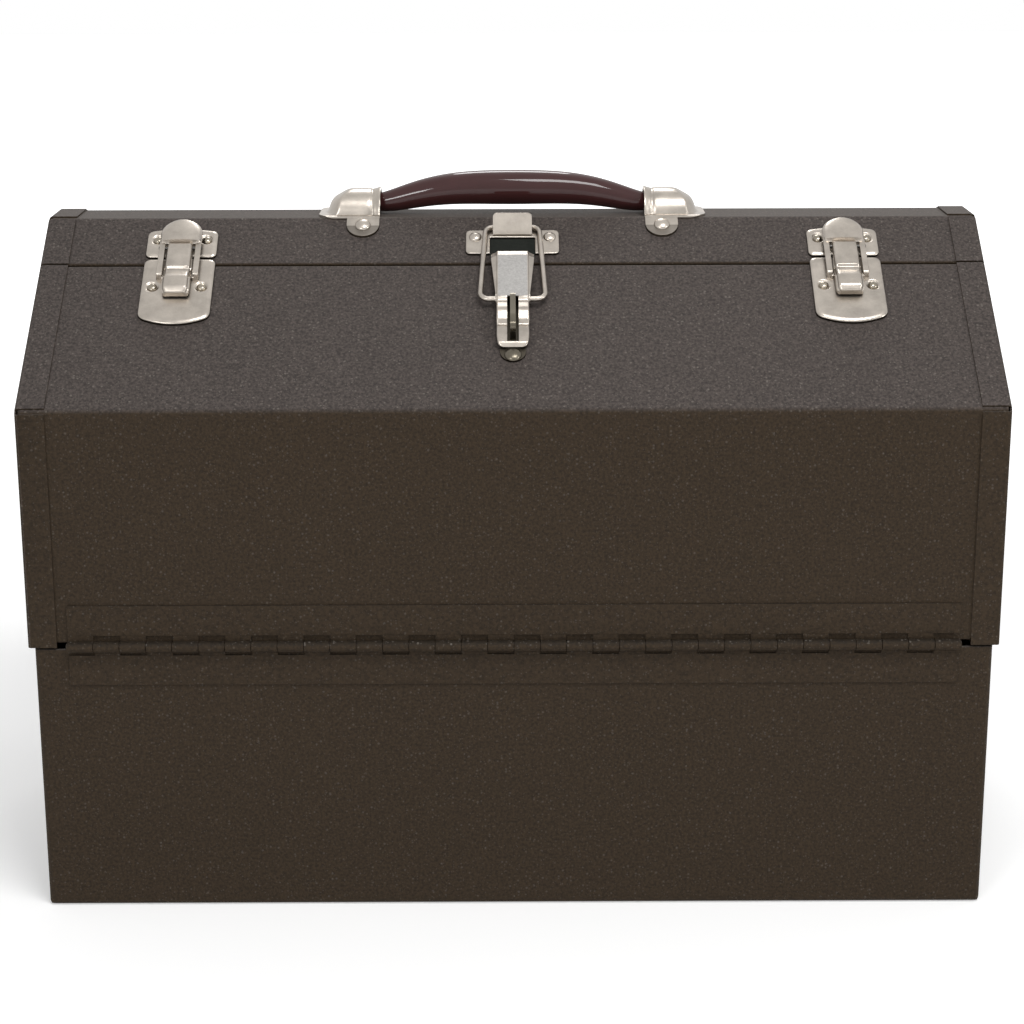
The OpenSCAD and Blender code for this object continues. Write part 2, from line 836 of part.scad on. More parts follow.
// Hasp: two rails from the pin, with eyes for the lever, and a crowned half-round cap
module hasp() {
    ring_r = hasp_pin_d / 2 + fit + 0.8;
    eye_r = grip_pin_d / 2 + fit + 1;
    crown_h = 2.2;
    crown_r = (cap_d * cap_d / 4 + crown_h * crown_h) / (2 * crown_h);
    color(nickel_colour) {
        for (s = [-1, 1]) translate([s * (rail_in + rail_w / 2), 0, 0]) difference() {
            rotate([90, 0, 90]) translate([0, 0, -rail_w / 2]) linear_extrude(rail_w) union() {
                translate(hasp_axis) circle(ring_r);
                polygon([
                    [hasp_axis[0], hasp_axis[1] + 1], [hasp_axis[0] + 0.3, rail_z + rail_t - 0.6],
                    [hasp_axis[0] + 1, rail_z + rail_t], [cap_y - 1, rail_z + rail_t], [cap_y - 1, rail_z],
                    [hasp_axis[0] + 2.2, rail_z], [hasp_axis[0] + 1.4, hasp_axis[1] + 0.4], hasp_axis]);
                translate(grip_axis) circle(eye_r);
            }
            translate([0, hasp_axis[0], hasp_axis[1]]) bar_x(-5, 5, hasp_pin_d / 2 + fit);
            translate([0, grip_axis[0], grip_axis[1]]) bar_x(-5, 5, grip_pin_d / 2 + fit);
        }
        difference() {
            intersection() {
                translate([0, cap_y, rail_z + rail_t + crown_h - crown_r]) sphere(crown_r, $fn = 96);
                translate([0, 0, rail_z]) linear_extrude(8) union() {
                    intersection() {
                        translate([0, cap_y]) circle(d = cap_d, $fn = 64);
                        translate([-cap_d / 2, cap_y]) square([cap_d, cap_d]);
                    }
                    translate([-cap_d / 2, cap_cut_y]) square([cap_d, cap_y - cap_cut_y]);
                }
            }
            intersection() {
                translate([0, cap_y, rail_z + rail_t + crown_h - crown_r]) sphere(crown_r - 1.1, $fn = 96);
                translate([0, cap_y, 0]) cylinder(r = rail_in, h = 20);
            }
        }
    }
}

module hasp_left() {
    at_latch(-1) hasp();
}

module hasp_right() {
    at_latch(1) hasp();
}

module lever_pin() {
    color(steel_colour) translate([0, grip_axis[0], grip_axis[1]])
        bar_x(-rail_in - rail_w - 0.3, rail_in + rail_w + 0.3, grip_pin_d / 2);
}

module lever_pin_left() {
    at_latch(-1) lever_pin();
}

module lever_pin_right() {
    at_latch(1) lever_pin();
}

// Lever: a channel with a raised finger grip at its lower end
module latch_lever() {
    wall = 1;
    top = grip_top_z;
    end = grip_end_y;
    face = [
        [grip_axis[0], top, 0], [-7.6, top, 1], [-9.4, top - 1.2, 0.6], [-11.5, top - 0.6, 2],
        [-15.5, top + 1.3, 4], [-21.5, top + 0.6, 3], [end, top - 2.6, 1.2], [end, grip_low_z - 0.5, 0]];
    color(nickel_colour) difference() {
        union() {
            along_x(grip_w) folded([for (i = [len(face) - 1:-1:0]) face[i]], wall);
            for (s = [-1, 1]) translate([s * (grip_w - wall) / 2, 0, 0]) along_x(wall) polygon([
                [grip_axis[0], top - wall / 2], [-7.6, top - wall / 2], [-9.4, top - 1.6], [-11.5, top - 1.2],
                [-15.5, top + 0.7], [-21.5, top], [end + wall / 2, top - 3], [end + wall / 2, grip_low_z],
                [grip_axis[0] - 1, grip_low_z]]);
            translate([0, grip_axis[0], grip_axis[1]]) bar_x(-grip_w / 2, grip_w / 2, grip_barrel_r);
        }
        translate([0, grip_axis[0], grip_axis[1]]) bar_x(-grip_w, grip_w, grip_pin_d / 2 + fit);
    }
}

module latch_lever_left() {
    at_latch(-1) latch_lever();
}

module latch_lever_right() {
    at_latch(1) latch_lever();
}

// Centre latch

// Keeper: a flat plate with two ears and a lip cut from its middle and turned up
module keeper() {
    w = keeper_w / 2;
    color(nickel_colour) on_slope() {
        difference() {
            linear_extrude(keeper_t) polygon(rounded([
                [-w, keeper_y0, 2.4], [w, keeper_y0, 2.4], [w, keeper_y1, 2.4], [-w, keeper_y1, 2.4]]));
            translate([-lip_w / 2 - 0.4, keeper_y0 - 1, -1]) cube([lip_w + 0.8, lip_y - keeper_y0 + 1, 5]);
            for (s = [-1, 1]) translate([s * keeper_rivet[0], keeper_rivet[1], -1]) cylinder(d = shank_d, h = 5);
        }
        intersection() {
            translate([0, lip_y, 0]) rotate([lip_tilt, 0, 0]) linear_extrude(keeper_t) polygon(rounded([
                [-lip_w / 2, 0, 0], [lip_w / 2, 0, 0], [lip_w / 2, lip_l, 2], [-lip_w / 2, lip_l, 2]]));
            translate([-keeper_w / 2, keeper_y0 - lip_l, 0]) cube([keeper_w, 3 * lip_l, 2 * lip_l]);
        }
    }
}

module keeper_rivets() {
    color(nickel_colour) on_slope() for (s = [-1, 1])
        translate([s * keeper_rivet[0], keeper_rivet[1], keeper_t]) rivet(keeper_t + sheet_t);
}

// Base of the draw latch: a strap with two pivot ears and an upright padlock eye
module draw_latch_base() {
    ear_r = lever_pin_d / 2 + 0.9;
    color(nickel_colour) on_slope() difference() {
        union() {
            linear_extrude(base_t) polygon(rounded([
                [-ear_in, lever_axis[0] - 5, 0], [-ear_in, strap_top_y, 3], [-strap_half, strap_neck_y, 3],
                [-strap_half, base_end_y, strap_half - 0.3], [strap_half, base_end_y, strap_half - 0.3],
                [strap_half, strap_neck_y, 3], [ear_in, strap_top_y, 3], [ear_in, lever_axis[0] - 5, 0]]));
            for (s = [-1, 1]) translate([s * (ear_in - base_t / 2), 0, 0]) along_x(base_t) union() {
                translate(lever_axis) circle(ear_r);
                polygon([
                    [lever_axis[0] - 5, 0], [lever_axis[0] - 15, 0], [lever_axis[0] - 15, 1.6],
                    [lever_axis[0] - ear_r, lever_axis[1] + 0.5], lever_axis, [lever_axis[0], lever_axis[1] - ear_r],
                    [lever_axis[0] - 5, base_t]]);
            }
            along_x(eye_t) polygon(rounded([
                [-27, 0, 0], [-27, 8.8, 4], [-45, 10.6, 4], [-52.5, 10.6, 3.4], [-53.5, 0, 0]]));
        }
        translate([0, lever_axis[0], lever_axis[1]]) bar_x(-20, 20, lever_pin_d / 2 + fit);
        translate([0, padlock_eye[0], padlock_eye[1]]) bar_x(-5, 5, padlock_r);
        translate([0, base_rivet_y, -1]) cylinder(d = shank_d, h = 5);
    }
}

module draw_latch_rivet() {
    color(nickel_colour) on_slope() translate([0, base_rivet_y, base_t])
        rivet(base_t + sheet_t, base_rivet_d, rivet_h + 0.2);
}

module draw_lever_pin() {
    color(steel_colour) on_slope() translate([0, lever_axis[0], lever_axis[1]])
        bar_x(-lever_w / 2 - 0.4, lever_w / 2 + 0.4, lever_pin_d / 2);
}

// Lever of the draw latch: a tapering channel that ends in two curved prongs
module draw_lever() {
    wall = lever_t;
    top_y = lever_axis[0] + 3.2;
    fold_y = -30;
    wide = lever_w / 2;
    slim = lever_low_w / 2;
    face = [
        [top_y, lever_face_z - 1.2, 0], [top_y - 2, lever_face_z, 2], [fold_y, lever_face_z, 1.5],
        [fold_y - 3, lever_face_z - 1.2, 1.5], [-39, lever_face_z, 4], [-44.5, lever_face_z - 2.2, 2],
        [-46, lever_face_z - 3.6, 1], [-50.8, lever_face_z - 3.6, 1], [-53, lever_face_z - 2.7, 1.5],
        [-56.5, lever_face_z - 3.8, 2], [lever_tip_y, lever_face_z - 5, 0]];
    color(nickel_colour) on_slope() difference() {
        union() {
            intersection() {
                along_x(lever_w) folded([for (i = [len(face) - 1:-1:0]) face[i]], wall);
                linear_extrude(20) polygon([
                    [-wide, top_y], [-wide, -3], [-slim, fold_y], [-slim, lever_tip_y + 3], [-slim + 3, lever_tip_y],
                    [slim - 3, lever_tip_y], [slim, lever_tip_y + 3], [slim, fold_y], [wide, -3], [wide, top_y]]);
            }
            intersection() {
                along_x(lever_w) polygon([
                    [top_y, lever_face_z - 0.9], [top_y, lever_axis[1] - 1.4], [lever_axis[0] - 1, 2.4],
                    [-12, 3.2], [fold_y, 2.8], [fold_y - 2.6, 4], [fold_y - 2.6, lever_face_z - 1.8],
                    [fold_y, lever_face_z - 0.5], [top_y - 2, lever_face_z - 0.5]]);
                difference() {
                    linear_extrude(20) polygon([
                        [-wide, top_y], [-wide, -3], [-slim, fold_y], [-slim, -35], [slim, -35], [slim, fold_y],
                        [wide, -3], [wide, top_y]]);
                    translate([0, 0, -1]) linear_extrude(22) polygon([
                        [-wide + wall, top_y + 1], [-wide + wall, -3], [-slim + wall, fold_y], [-slim + wall, -36],
                        [slim - wall, -36], [slim - wall, fold_y], [wide - wall, -3], [wide - wall, top_y + 1]]);
                }
            }
            for (s = [-1, 1]) translate([s * (slim - 0.3), bail_axis[0], bail_axis[1]])
                bar_x(-0.8, 0.8, 2.4);
        }
        translate([-prong_in, -54.5, -1]) cube([2 * prong_in, 28.5, 20]);
        translate([0, lever_axis[0], lever_axis[1]]) bar_x(-20, 20, lever_pin_d / 2 + fit);
        translate([0, bail_axis[0], bail_axis[1]]) bar_x(-20, 20, bail_d / 2 + fit);
    }
}

// Bail: one bent wire, drawn as round bars with round elbows
module bail() {
    r = bail_d / 2;
    elbow = 3.5;
    low_in = lever_low_w / 2 - 2.2;
    a = [bail_low_x, bail_axis[0] + 1.2, bail_axis[1]];
    b = [bail_top_x, bail_top[0] - 2.2, bail_top[1]];
    color(nickel_colour) on_slope() {
        translate([0, bail_top[0], bail_top[1]]) bar_x(-bail_top_x + 2.2, bail_top_x - 2.2, r);
        both_sides() {
            wire(a, b, r);
            wire(b, [bail_top_x - 2.2, bail_top[0], bail_top[1]], r);
            wire([bail_low_x - 1.8, bail_axis[0], bail_axis[1]], a, r);
            translate([0, bail_axis[0], bail_axis[1]]) bar_x(low_in, bail_low_x - 1.8, r);
            for (p = [a, b, [bail_top_x - 2.2, bail_top[0], bail_top[1]], [bail_low_x - 1.8, bail_axis[0], bail_axis[1]]])
                translate(p) sphere(r, $fn = 32);
        }
    }
}

module wire(p, q, r) {
    d = q - p;
    translate(p) rotate([0, acos(d[2] / norm(d)), atan2(d[1], d[0])]) cylinder(r = r, h = norm(d));
}

// Handle
bracket_rivet_y = split_back / cos(pitch) - tab_rivet_drop;

// Bracket: a pressed half-round cover over the grip's end, and a tab folded down each slope
module handle_bracket_right() {
    half = roof_flat / 2;
    tab_l = 15;
    color(nickel_colour) {
        difference() {
            union() {
                translate([bracket_in, -half, roof_z]) cube([bracket_out - bracket_in - 6, roof_flat, bracket_t]);
                translate([bracket_out - 6, 0, roof_z]) intersection() {
                    cylinder(r = half, h = bracket_t, $fn = 64);
                    translate([-1, -half, 0]) cube([half + 1, roof_flat, bracket_t]);
                }
                intersection() {
                    bracket_cover(0);
                    translate([bracket_in, -half, roof_z]) cube([bracket_out - bracket_in, roof_flat, 2 * bracket_h]);
                }
            }
            bracket_cover(bracket_t);
            translate([bracket_out, -half - 1, roof_z - 1]) cube([40, roof_flat + 2, 30]);
        }
        for (f = [0, 1]) mirror([0, f, 0]) difference() {
            on_slope() difference() {
                translate([bracket_x, bracket_rivet_y + tab_rivet_drop, 0]) linear_extrude(bracket_t) polygon(rounded([
                    [-tab_w / 2, 0.6, 0], [-tab_w / 2, -tab_l, tab_w / 2 - 0.1], [tab_w / 2, -tab_l, tab_w / 2 - 0.1],
                    [tab_w / 2, 0.6, 0]]));
                translate([bracket_x, bracket_rivet_y, -1]) cylinder(d = shank_d, h = 5);
            }
            translate([0, -half + 1, roof_z + bracket_t]) cube([end_x, 5, 5]);
        }
    }
}

// Outside of the cover, shrunk by t: a half-round tunnel that ends in a sloping hood
module bracket_cover(t) {
    r = bracket_h - t;
    x0 = bracket_in - 1;
    foot_x = bracket_out - 2.4 - t;
    bend_x = foot_x - 12.7 + t;
    translate([0, 0, roof_z]) intersection() {
        translate([x0, 0, 0]) rotate([0, 90, 0]) cylinder(r = r, h = bracket_out - x0, $fn = 64);
        along_y(2 * bracket_h + 2) polygon(concat(
            [[x0, t > 0 ? -1 : 0], [x0, r]],
            [for (k = [0:10]) [bend_x + (foot_x - bend_x) * sin(9 * k), r * cos(9 * k)]],
            [[foot_x, t > 0 ? -1 : 0]]));
    }
}

module handle_bracket_left() {
    left_side() handle_bracket_right();
}

// Steel stops that stand on the roof, inside the brackets, against the grip's ends
module handle_ends() {
    stop_t = 1.5;
    stop_w = 10;
    color(steel_colour) both_sides() translate([grip_half, -stop_w / 2, roof_z]) {
        cube([stop_t, stop_w, neck_z + 3]);
        cube([9, stop_w, stop_t]);
    }
}

module handle_rivets() {
    color(nickel_colour) for (s = [-1, 1], f = [0, 1])
        mirror([0, f, 0]) on_slope() translate([s * bracket_x, bracket_rivet_y, bracket_t])
            rivet(bracket_t + sheet_t, rivet_d + 1.4, rivet_h + 0.2);
}

// Grip: a round bar that swells from neck to middle and rises in a shallow arch
grip_half = bracket_x + 3;
function grip_part(x) = min(1, abs(x) / bracket_in);
function grip_z(x) = roof_z + neck_z + (grip_rise - neck_z) * pow(1 - pow(grip_part(x), 3.6), 1.8);
function grip_radius(x) = neck_d / 2 + (grip_d - neck_d) / 2 * pow(1 - pow(grip_part(x), 2), 0.9);
grip_steps = 28;
grip_sides = 20;
function grip_ring(x) = [
    for (k = [0:grip_sides - 1])
        let (a = 360 * k / grip_sides) [x, grip_radius(x) * cos(a), grip_z(x) + grip_radius(x) * sin(a)]
];

module handle_grip() {
    xs = [for (i = [0:grip_steps]) -grip_half + 2 * grip_half * i / grip_steps];
    n = grip_sides;
    color(grip_colour) polyhedron(
        points = [for (x = xs) each grip_ring(x)],
        faces = concat(
            [[for (k = [0:n - 1]) k]],
            [for (i = [0:grip_steps - 1], k = [0:n - 1])
                [i * n + k, (i + 1) * n + k, (i + 1) * n + (k + 1) % n, i * n + (k + 1) % n]],
            [[for (k = [n - 1:-1:0]) grip_steps * n + k]]));
}

body_shell();
body_end_left();
body_end_right();
front_hinge_lower_leaf();
rear_hinge_lower_leaf();
front_hinge_pin();
rear_hinge_pin();
arm_pivot_rivets();
front_lid_panel();
front_lid_end_left();
front_lid_end_right();
front_hinge_upper_leaf();
rear_lid_panel();
rear_lid_end_left();
rear_lid_end_right();
rear_hinge_upper_leaf();
front_tray_pivots();
rear_tray_pivots();
front_lower_tray();
front_upper_tray();
rear_lower_tray();
rear_upper_tray();
front_tray_dividers();
rear_tray_dividers();
front_lower_arm_rivets();
front_upper_arm_rivets();
rear_lower_arm_rivets();
rear_upper_arm_rivets();
front_swing_arms();
rear_swing_arms();
latch_base_left();
latch_base_right();
hasp_pin_left();
hasp_pin_right();
hasp_left();
hasp_right();
lever_pin_left();
lever_pin_right();
latch_lever_left();
latch_lever_right();
latch_base_rivets();
strike_left();
strike_right();
strike_rivets();
keeper();
keeper_rivets();
draw_latch_base();
draw_latch_rivet();
draw_lever_pin();
draw_lever();
bail();
handle_bracket_left();
handle_bracket_right();
handle_rivets();
handle_ends();
handle_grip();
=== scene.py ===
# %% [markdown]
# # A steel cantilever toolbox
# The toolbox is bent from thin sheet, riveted, and sprayed with a dark brown textured powder coat.
# Its latches and handle brackets are pressed steel with a satin nickel plate, and the grip is
# dipped in glossy vinyl. The CAD model gives every piece its place and its motion. This script
# gives each piece the soft edges, finishes and small forms that the eye expects.

# %% Load the frame
import json
import math

import bmesh
import bpy
from mathutils import Matrix, Vector
from mathutils.geometry import delaunay_2d_cdt

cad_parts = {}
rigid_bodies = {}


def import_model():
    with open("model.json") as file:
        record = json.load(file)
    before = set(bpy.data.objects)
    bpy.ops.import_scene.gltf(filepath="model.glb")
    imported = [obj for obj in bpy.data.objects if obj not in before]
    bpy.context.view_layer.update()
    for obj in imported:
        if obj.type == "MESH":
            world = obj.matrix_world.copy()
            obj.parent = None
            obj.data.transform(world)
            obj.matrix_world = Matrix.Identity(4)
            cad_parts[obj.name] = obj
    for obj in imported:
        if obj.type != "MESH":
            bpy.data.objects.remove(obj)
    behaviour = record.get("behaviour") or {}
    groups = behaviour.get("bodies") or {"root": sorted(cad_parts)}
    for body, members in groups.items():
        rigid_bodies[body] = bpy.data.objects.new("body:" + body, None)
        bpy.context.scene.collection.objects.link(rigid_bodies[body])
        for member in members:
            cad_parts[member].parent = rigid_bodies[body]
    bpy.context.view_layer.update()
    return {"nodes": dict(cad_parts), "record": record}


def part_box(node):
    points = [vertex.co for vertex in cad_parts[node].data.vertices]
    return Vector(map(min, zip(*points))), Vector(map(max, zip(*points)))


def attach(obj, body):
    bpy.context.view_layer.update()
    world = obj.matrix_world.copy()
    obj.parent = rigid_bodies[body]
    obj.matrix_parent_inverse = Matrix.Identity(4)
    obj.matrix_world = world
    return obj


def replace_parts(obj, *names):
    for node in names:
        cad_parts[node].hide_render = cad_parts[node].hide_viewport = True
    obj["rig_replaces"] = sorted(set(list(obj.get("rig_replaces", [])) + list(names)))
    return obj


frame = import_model()
MM = 0.001
behaviour = frame["record"]["behaviour"]
body_of = {node: body for body, nodes in behaviour["bodies"].items() for node in nodes}
slot_of = {part["node"]: part["material_slot"] for part in frame["record"]["subparts"]}
pivot = {joint["name"]: Vector(joint["pos_m"]) for joint in behaviour["joints"]}

# %% [markdown]
# ## Maths on sockets
# A node tree is easier to read as a formula than as a list of links. `Field` wraps one socket, and
# Python's operators on it add the Math nodes. `Recipe` adds every other kind of node with one
# method, for shader trees and geometry trees alike.

# %% A socket with operators, and a tree builder


def connect(tree, target, value):
    """Put a value or the output of another node into an input."""
    if isinstance(value, Field):
        tree.links.new(value.socket, target)
    else:
        target.default_value = value


class Field:
    """One output of a node tree that Python's operators work on."""

    def __init__(self, tree, socket):
        self.tree = tree
        self.socket = socket

    def math(self, operation, *values, clamp=False):
        node = self.tree.nodes.new("ShaderNodeMath")
        node.operation = operation
        node.use_clamp = clamp
        for target, value in zip(node.inputs, values):
            connect(self.tree, target, value)
        return Field(self.tree, node.outputs[0])

    def __add__(self, other):
        return self.math("ADD", self, other)

    def __mul__(self, other):
        return self.math("MULTIPLY", self, other)

    def __sub__(self, other):
        return self.math("SUBTRACT", self, other)

    def __rsub__(self, other):
        return self.math("SUBTRACT", other, self)

    def __truediv__(self, other):
        return self.math("DIVIDE", self, other)

    def __pow__(self, other):
        return self.math("POWER", self, other)

    def __gt__(self, other):
        return self.math("GREATER_THAN", self, other)

    def clamped(self):
        return self.math("ADD", self, 0.0, clamp=True)

    __radd__ = __add__
    __rmul__ = __mul__


class Recipe:
    """A node tree built one step at a time."""

    def __init__(self, tree):
        self.tree = tree

    def add(self, kind, inputs=None, settings=None, output=0):
        node = self.tree.nodes.new(kind)
        for name, value in (settings or {}).items():
            setattr(node, name, value)
        for name, value in (inputs or {}).items():
            connect(self.tree, node.inputs[name], value)
        return Field(self.tree, node.outputs[output]) if node.outputs else None

    def mix(self, factor, first, second):
        return self.add("ShaderNodeMix", {0: factor, 6: first, 7: second}, {"data_type": "RGBA"}, 2)

    def place(self):
        return self.add("ShaderNodeTexCoord", output="Object")

    def normal(self):
        return self.add("ShaderNodeTexCoord", output="Normal")

    def parts(self, vector):
        """The X, Y and Z of a vector."""
        node = self.tree.nodes.new("ShaderNodeSeparateXYZ")
        connect(self.tree, node.inputs[0], vector)
        return [Field(self.tree, socket) for socket in node.outputs]

    def vector(self, x=0.0, y=0.0, z=0.0):
        return self.add("ShaderNodeCombineXYZ", {0: x, 1: y, 2: z})

    def along(self, axis, vector=None):
        """How far the vector, or else the place on the piece, reaches along an axis."""
        inputs = {0: vector or self.place(), 1: axis}
        return self.add("ShaderNodeVectorMath", inputs, {"operation": "DOT_PRODUCT"}, 1)

    def noise(self, size, detail=2.0, roughness=0.5):
        """Noise whose lumps are about as large as size."""
        return self.add("ShaderNodeTexNoise", {
            "Vector": self.place(), "Scale": 1 / size, "Detail": detail, "Roughness": roughness})

    def bump(self, height, depth, strength=1.0, normal=None):
        inputs = {"Height": height, "Distance": depth, "Strength": strength}
        if normal:
            inputs["Normal"] = normal
        return self.add("ShaderNodeBump", inputs)


def new_material(name, shade):
    """Material whose Principled sockets are what shade(recipe) returns."""
    material = bpy.data.materials.new(name)
    material.use_nodes = True
    tree = material.node_tree
    tree.nodes.clear()
    recipe = Recipe(tree)
    surface = recipe.add("ShaderNodeBsdfPrincipled", shade(recipe))
    recipe.add("ShaderNodeOutputMaterial", {"Surface": surface})
    return material


def rgba(colour, gain=1.0):
    return [min(1.0, channel * gain) for channel in colour] + [1.0]


# %% [markdown]
# ## Places on the front slope
# The latches lie on the front slope, so their sizes are easiest to give as the slope sees them:
# x along the box, u up the slope from the split between the lids, and n out of the sheet, all in
# millimetres. The slope's tilt comes from the lid panel's largest sloping face, and the split from
# a hasp's hinge, whose distance to it is known.

# %% The slope's own axes
HASP_PIN = (-11.8, 2.2)
SIDES = (("left", -1), ("right", 1))
panel_faces = frame["nodes"]["front_lid_panel"].data.polygons
sloping = [face for face in panel_faces if face.normal.z > 0.3 and face.normal.y < -0.3]
slope_face = max(sloping, key=lambda face: face.area)
slope_out = slope_face.normal.copy()
slope_up = Vector((0, slope_out.z, -slope_out.y))
pitch = math.atan2(slope_up.z, slope_up.y)
split = pivot["hasp_left_hinge"] - (HASP_PIN[0] * slope_up + HASP_PIN[1] * slope_out) * MM
split.x = 0
latch_x = pivot["hasp_right_hinge"].x / MM


def on_slope(x, u, n):
    return split + (Vector((x, 0, 0)) + u * slope_up + n * slope_out) * MM


def at_latch(side):
    """The slope's axes, with x from the middle of one side latch."""
    return lambda x, u, n: on_slope(side * latch_x + x, u, n)


split_mm = [round(v / MM, 2) for v in split]
print("slope", round(math.degrees(pitch), 2), "degrees, split at", split_mm)

# %% [markdown]
# ## Powder coat
# The coat dries into fine, soft wrinkles a millimetre or two across, and here and there a pale
# grain of the powder shows. Noise makes the wrinkles, and two Voronoi patterns scatter the grains:
# each cell's random colour says how large its grain is, and some cells have none at all. Faces that
# look up are painted lighter and greyer than the upright walls, with stronger wrinkles and grains:
# this is painted sheen from the light above. The flat roof is paler still, with dust and painted
# sheen. The hinges get painted shade instead: darker where they look up, and no dust.

# %% The painted finishes
GRAINS = ((2.0, 0.36, 0.46), (1.2, 0.36, 0.4))
EMPTY_CELLS = 0.2
WRINKLE, WRINKLE_DEPTH = 1.35, 0.35
DUST_AND_SHEEN = 0.2
BROWN, PALE = (0.032, 0.0215, 0.0125), (0.18, 0.16, 0.14)


def grains(r, spacing, radius, amount):
    """Soft round grains, one at most in each cell; the radius is a part of the spacing."""
    cells = {"Vector": r.place(), "Scale": 1 / (spacing * MM)}
    near = r.add("ShaderNodeTexVoronoi", cells)
    colour = r.add("ShaderNodeTexVoronoi", cells, output="Color")
    chance = r.add("ShaderNodeSeparateColor", {"Color": colour})
    reach = (chance - EMPTY_CELLS) * (radius / (1 - EMPTY_CELLS))
    return ((reach - near) * 7).clamped() * amount


def powder_coat(upright, lying, pale, dust_and_sheen_amount=DUST_AND_SHEEN):
    """Coat whose colour goes from upright to lying as a face looks up; the change is painted light
    and shade from above.
    """
    def shade(r):
        up = r.parts(r.normal())[2]
        # how much a face looks up, which drives the painted sheen
        facing = (up * 1.6 - 0.3).clamped()
        dust_and_sheen = ((up - 0.86) * 8).clamped() * dust_and_sheen_amount
        wrinkle = r.noise(WRINKLE * MM, 2, 0.6)
        broad = r.noise(60 * MM, 2)
        # grains show more on faces that look up: painted sheen
        speck = (grains(r, *GRAINS[0]) + grains(r, *GRAINS[1])) * (0.45 + facing * 0.55)
        # the lying colour and its stronger wrinkle contrast are painted light and shade by facing
        base = r.mix(facing, rgba(upright), rgba(lying))
        dark = r.mix(facing, rgba(upright, 0.55), rgba(lying, 0.4))
        light = r.mix(facing, rgba(upright, 1.45), rgba(lying, 1.6))
        dips = r.mix(((wrinkle - 0.5) * 2.6 + 0.5 + (broad - 0.5) * 0.15).clamped(), dark, light)
        return {
            "Base Color": r.mix(speck, r.mix(dust_and_sheen, r.mix(0.8, base, dips), rgba(pale)), rgba(pale)),
            "Roughness": 0.6 + wrinkle * 0.2,
            "Specular IOR Level": 0.16,
            "Normal": r.bump(wrinkle, WRINKLE_DEPTH * MM, 0.7),
        }

    return shade


skin = new_material("brown_powder_coat", powder_coat(BROWN, (0.056, 0.046, 0.0415), PALE))
# On the hinges the lying colour is darker: painted shade along the top edges of the leaves.
hinge_coat_shaded_on_top = powder_coat(BROWN, (0.017, 0.012, 0.0075), PALE, dust_and_sheen_amount=0.0)
hinge_paint_shaded_on_top = new_material("hinge_powder_coat_shaded_on_top", hinge_coat_shaded_on_top)
# the trays' lighter lying colour is painted sheen too
tray_coat = powder_coat((0.032, 0.022, 0.013), (0.040, 0.031, 0.025), (0.15, 0.13, 0.11))
tray_paint = new_material("tray_powder_coat", tray_coat)

# %% [markdown]
# ## Plated steel and vinyl
# Nickel is a metal with a slightly warm colour. What makes it look pressed and handled is that its
# gloss isn't even, so fine noise changes the roughness and lifts the surface by a few hundredths of
# a millimetre. A painted contact shadow darkens the foot of each plate, in the last millimetre
# above the slope.
# The vinyl grip is a dark plastic under a clear glossy coat.

# %% The metals and the grip
# reach and colour of the painted contact shadow along the plates' foot
FOOT_SHADOW_TOP, FOOT_SHADOW_FADE, FOOT_SHADOW_END = 1.35, 0.5, 27
FOOT_SHADOW_COLOUR = (0.022, 0.017, 0.012)


def painted_foot_shadow(r):
    """Painted contact shadow: 1 just above the front slope, up to where the brackets begin, 0
    elsewhere.
    """
    n = r.along(slope_out) - split.dot(slope_out)
    u = r.along(slope_up) - split.dot(slope_up)
    low = ((FOOT_SHADOW_TOP * MM - n) / (FOOT_SHADOW_FADE * MM)).clamped()
    return low * (n > -1 * MM) * (1 - (u > FOOT_SHADOW_END * MM))


def plated(base, low, high):
    """Plating whose roughness wanders between low and high."""
    def shade(r):
        # painted contact shadow at the plate's foot, which is also made rougher
        foot_shadow = painted_foot_shadow(r)
        cloud = r.noise(9 * MM, 3, 0.55)
        fine = r.noise(0.9 * MM, 2)
        worn = ((cloud * 0.8 + fine * 0.2 - 0.5) * 2.2 + 0.5).clamped()
        clean = r.mix(worn, rgba(base, 0.8), rgba(base, 1.2))
        return {
            "Base Color": r.mix(foot_shadow, clean, rgba(FOOT_SHADOW_COLOUR)),
            "Metallic": 1.0,
            "Roughness": low + cloud * (high - low) + foot_shadow * 0.3,
            "Normal": r.bump(cloud, 0.04 * MM, 0.3, r.bump(fine, 0.008 * MM, 0.4)),
        }

    return shade


def vinyl(r):
    broad = r.noise(9 * MM, 2)
    return {
        "Base Color": r.mix(broad, rgba((0.036, 0.0105, 0.0105)), rgba((0.047, 0.0145, 0.014))),
        "Roughness": 0.4 + broad * 0.1,
        "Specular IOR Level": 0.05,
        "Coat Weight": 0.6,
        "Coat Roughness": 0.05,
        "Normal": r.bump(broad, 0.12 * MM, 0.3),
    }


NICKEL = ((0.41, 0.37, 0.325), 0.26, 0.36)
nickel = new_material("satin_nickel", plated(*NICKEL))
# Darker nickel for the draw latch's base and rivet: painted shade under the lever's tip.
shaded_nickel = new_material("shaded_nickel", plated((0.13, 0.115, 0.09), 0.24, 0.34))
# Darker nickel for the latch plates' rivets: painted dark reflection of the coat around them.
shaded_rivet_nickel = new_material("shaded_rivet_nickel", plated((0.27, 0.24, 0.195), 0.2, 0.3))
steel = new_material("zinc_steel", plated((0.40, 0.385, 0.36), 0.3, 0.42))
# Dark steel for the latches' pins: painted shade between lever and rails.
shaded_steel = new_material("pin_steel_painted_shade", plated((0.09, 0.085, 0.08), 0.35, 0.5))
grip_vinyl = new_material("maroon_vinyl", vinyl)
finish_of = {
    "skin": skin, "tray": tray_paint, "nickel": nickel, "steel": steel, "grip": grip_vinyl}

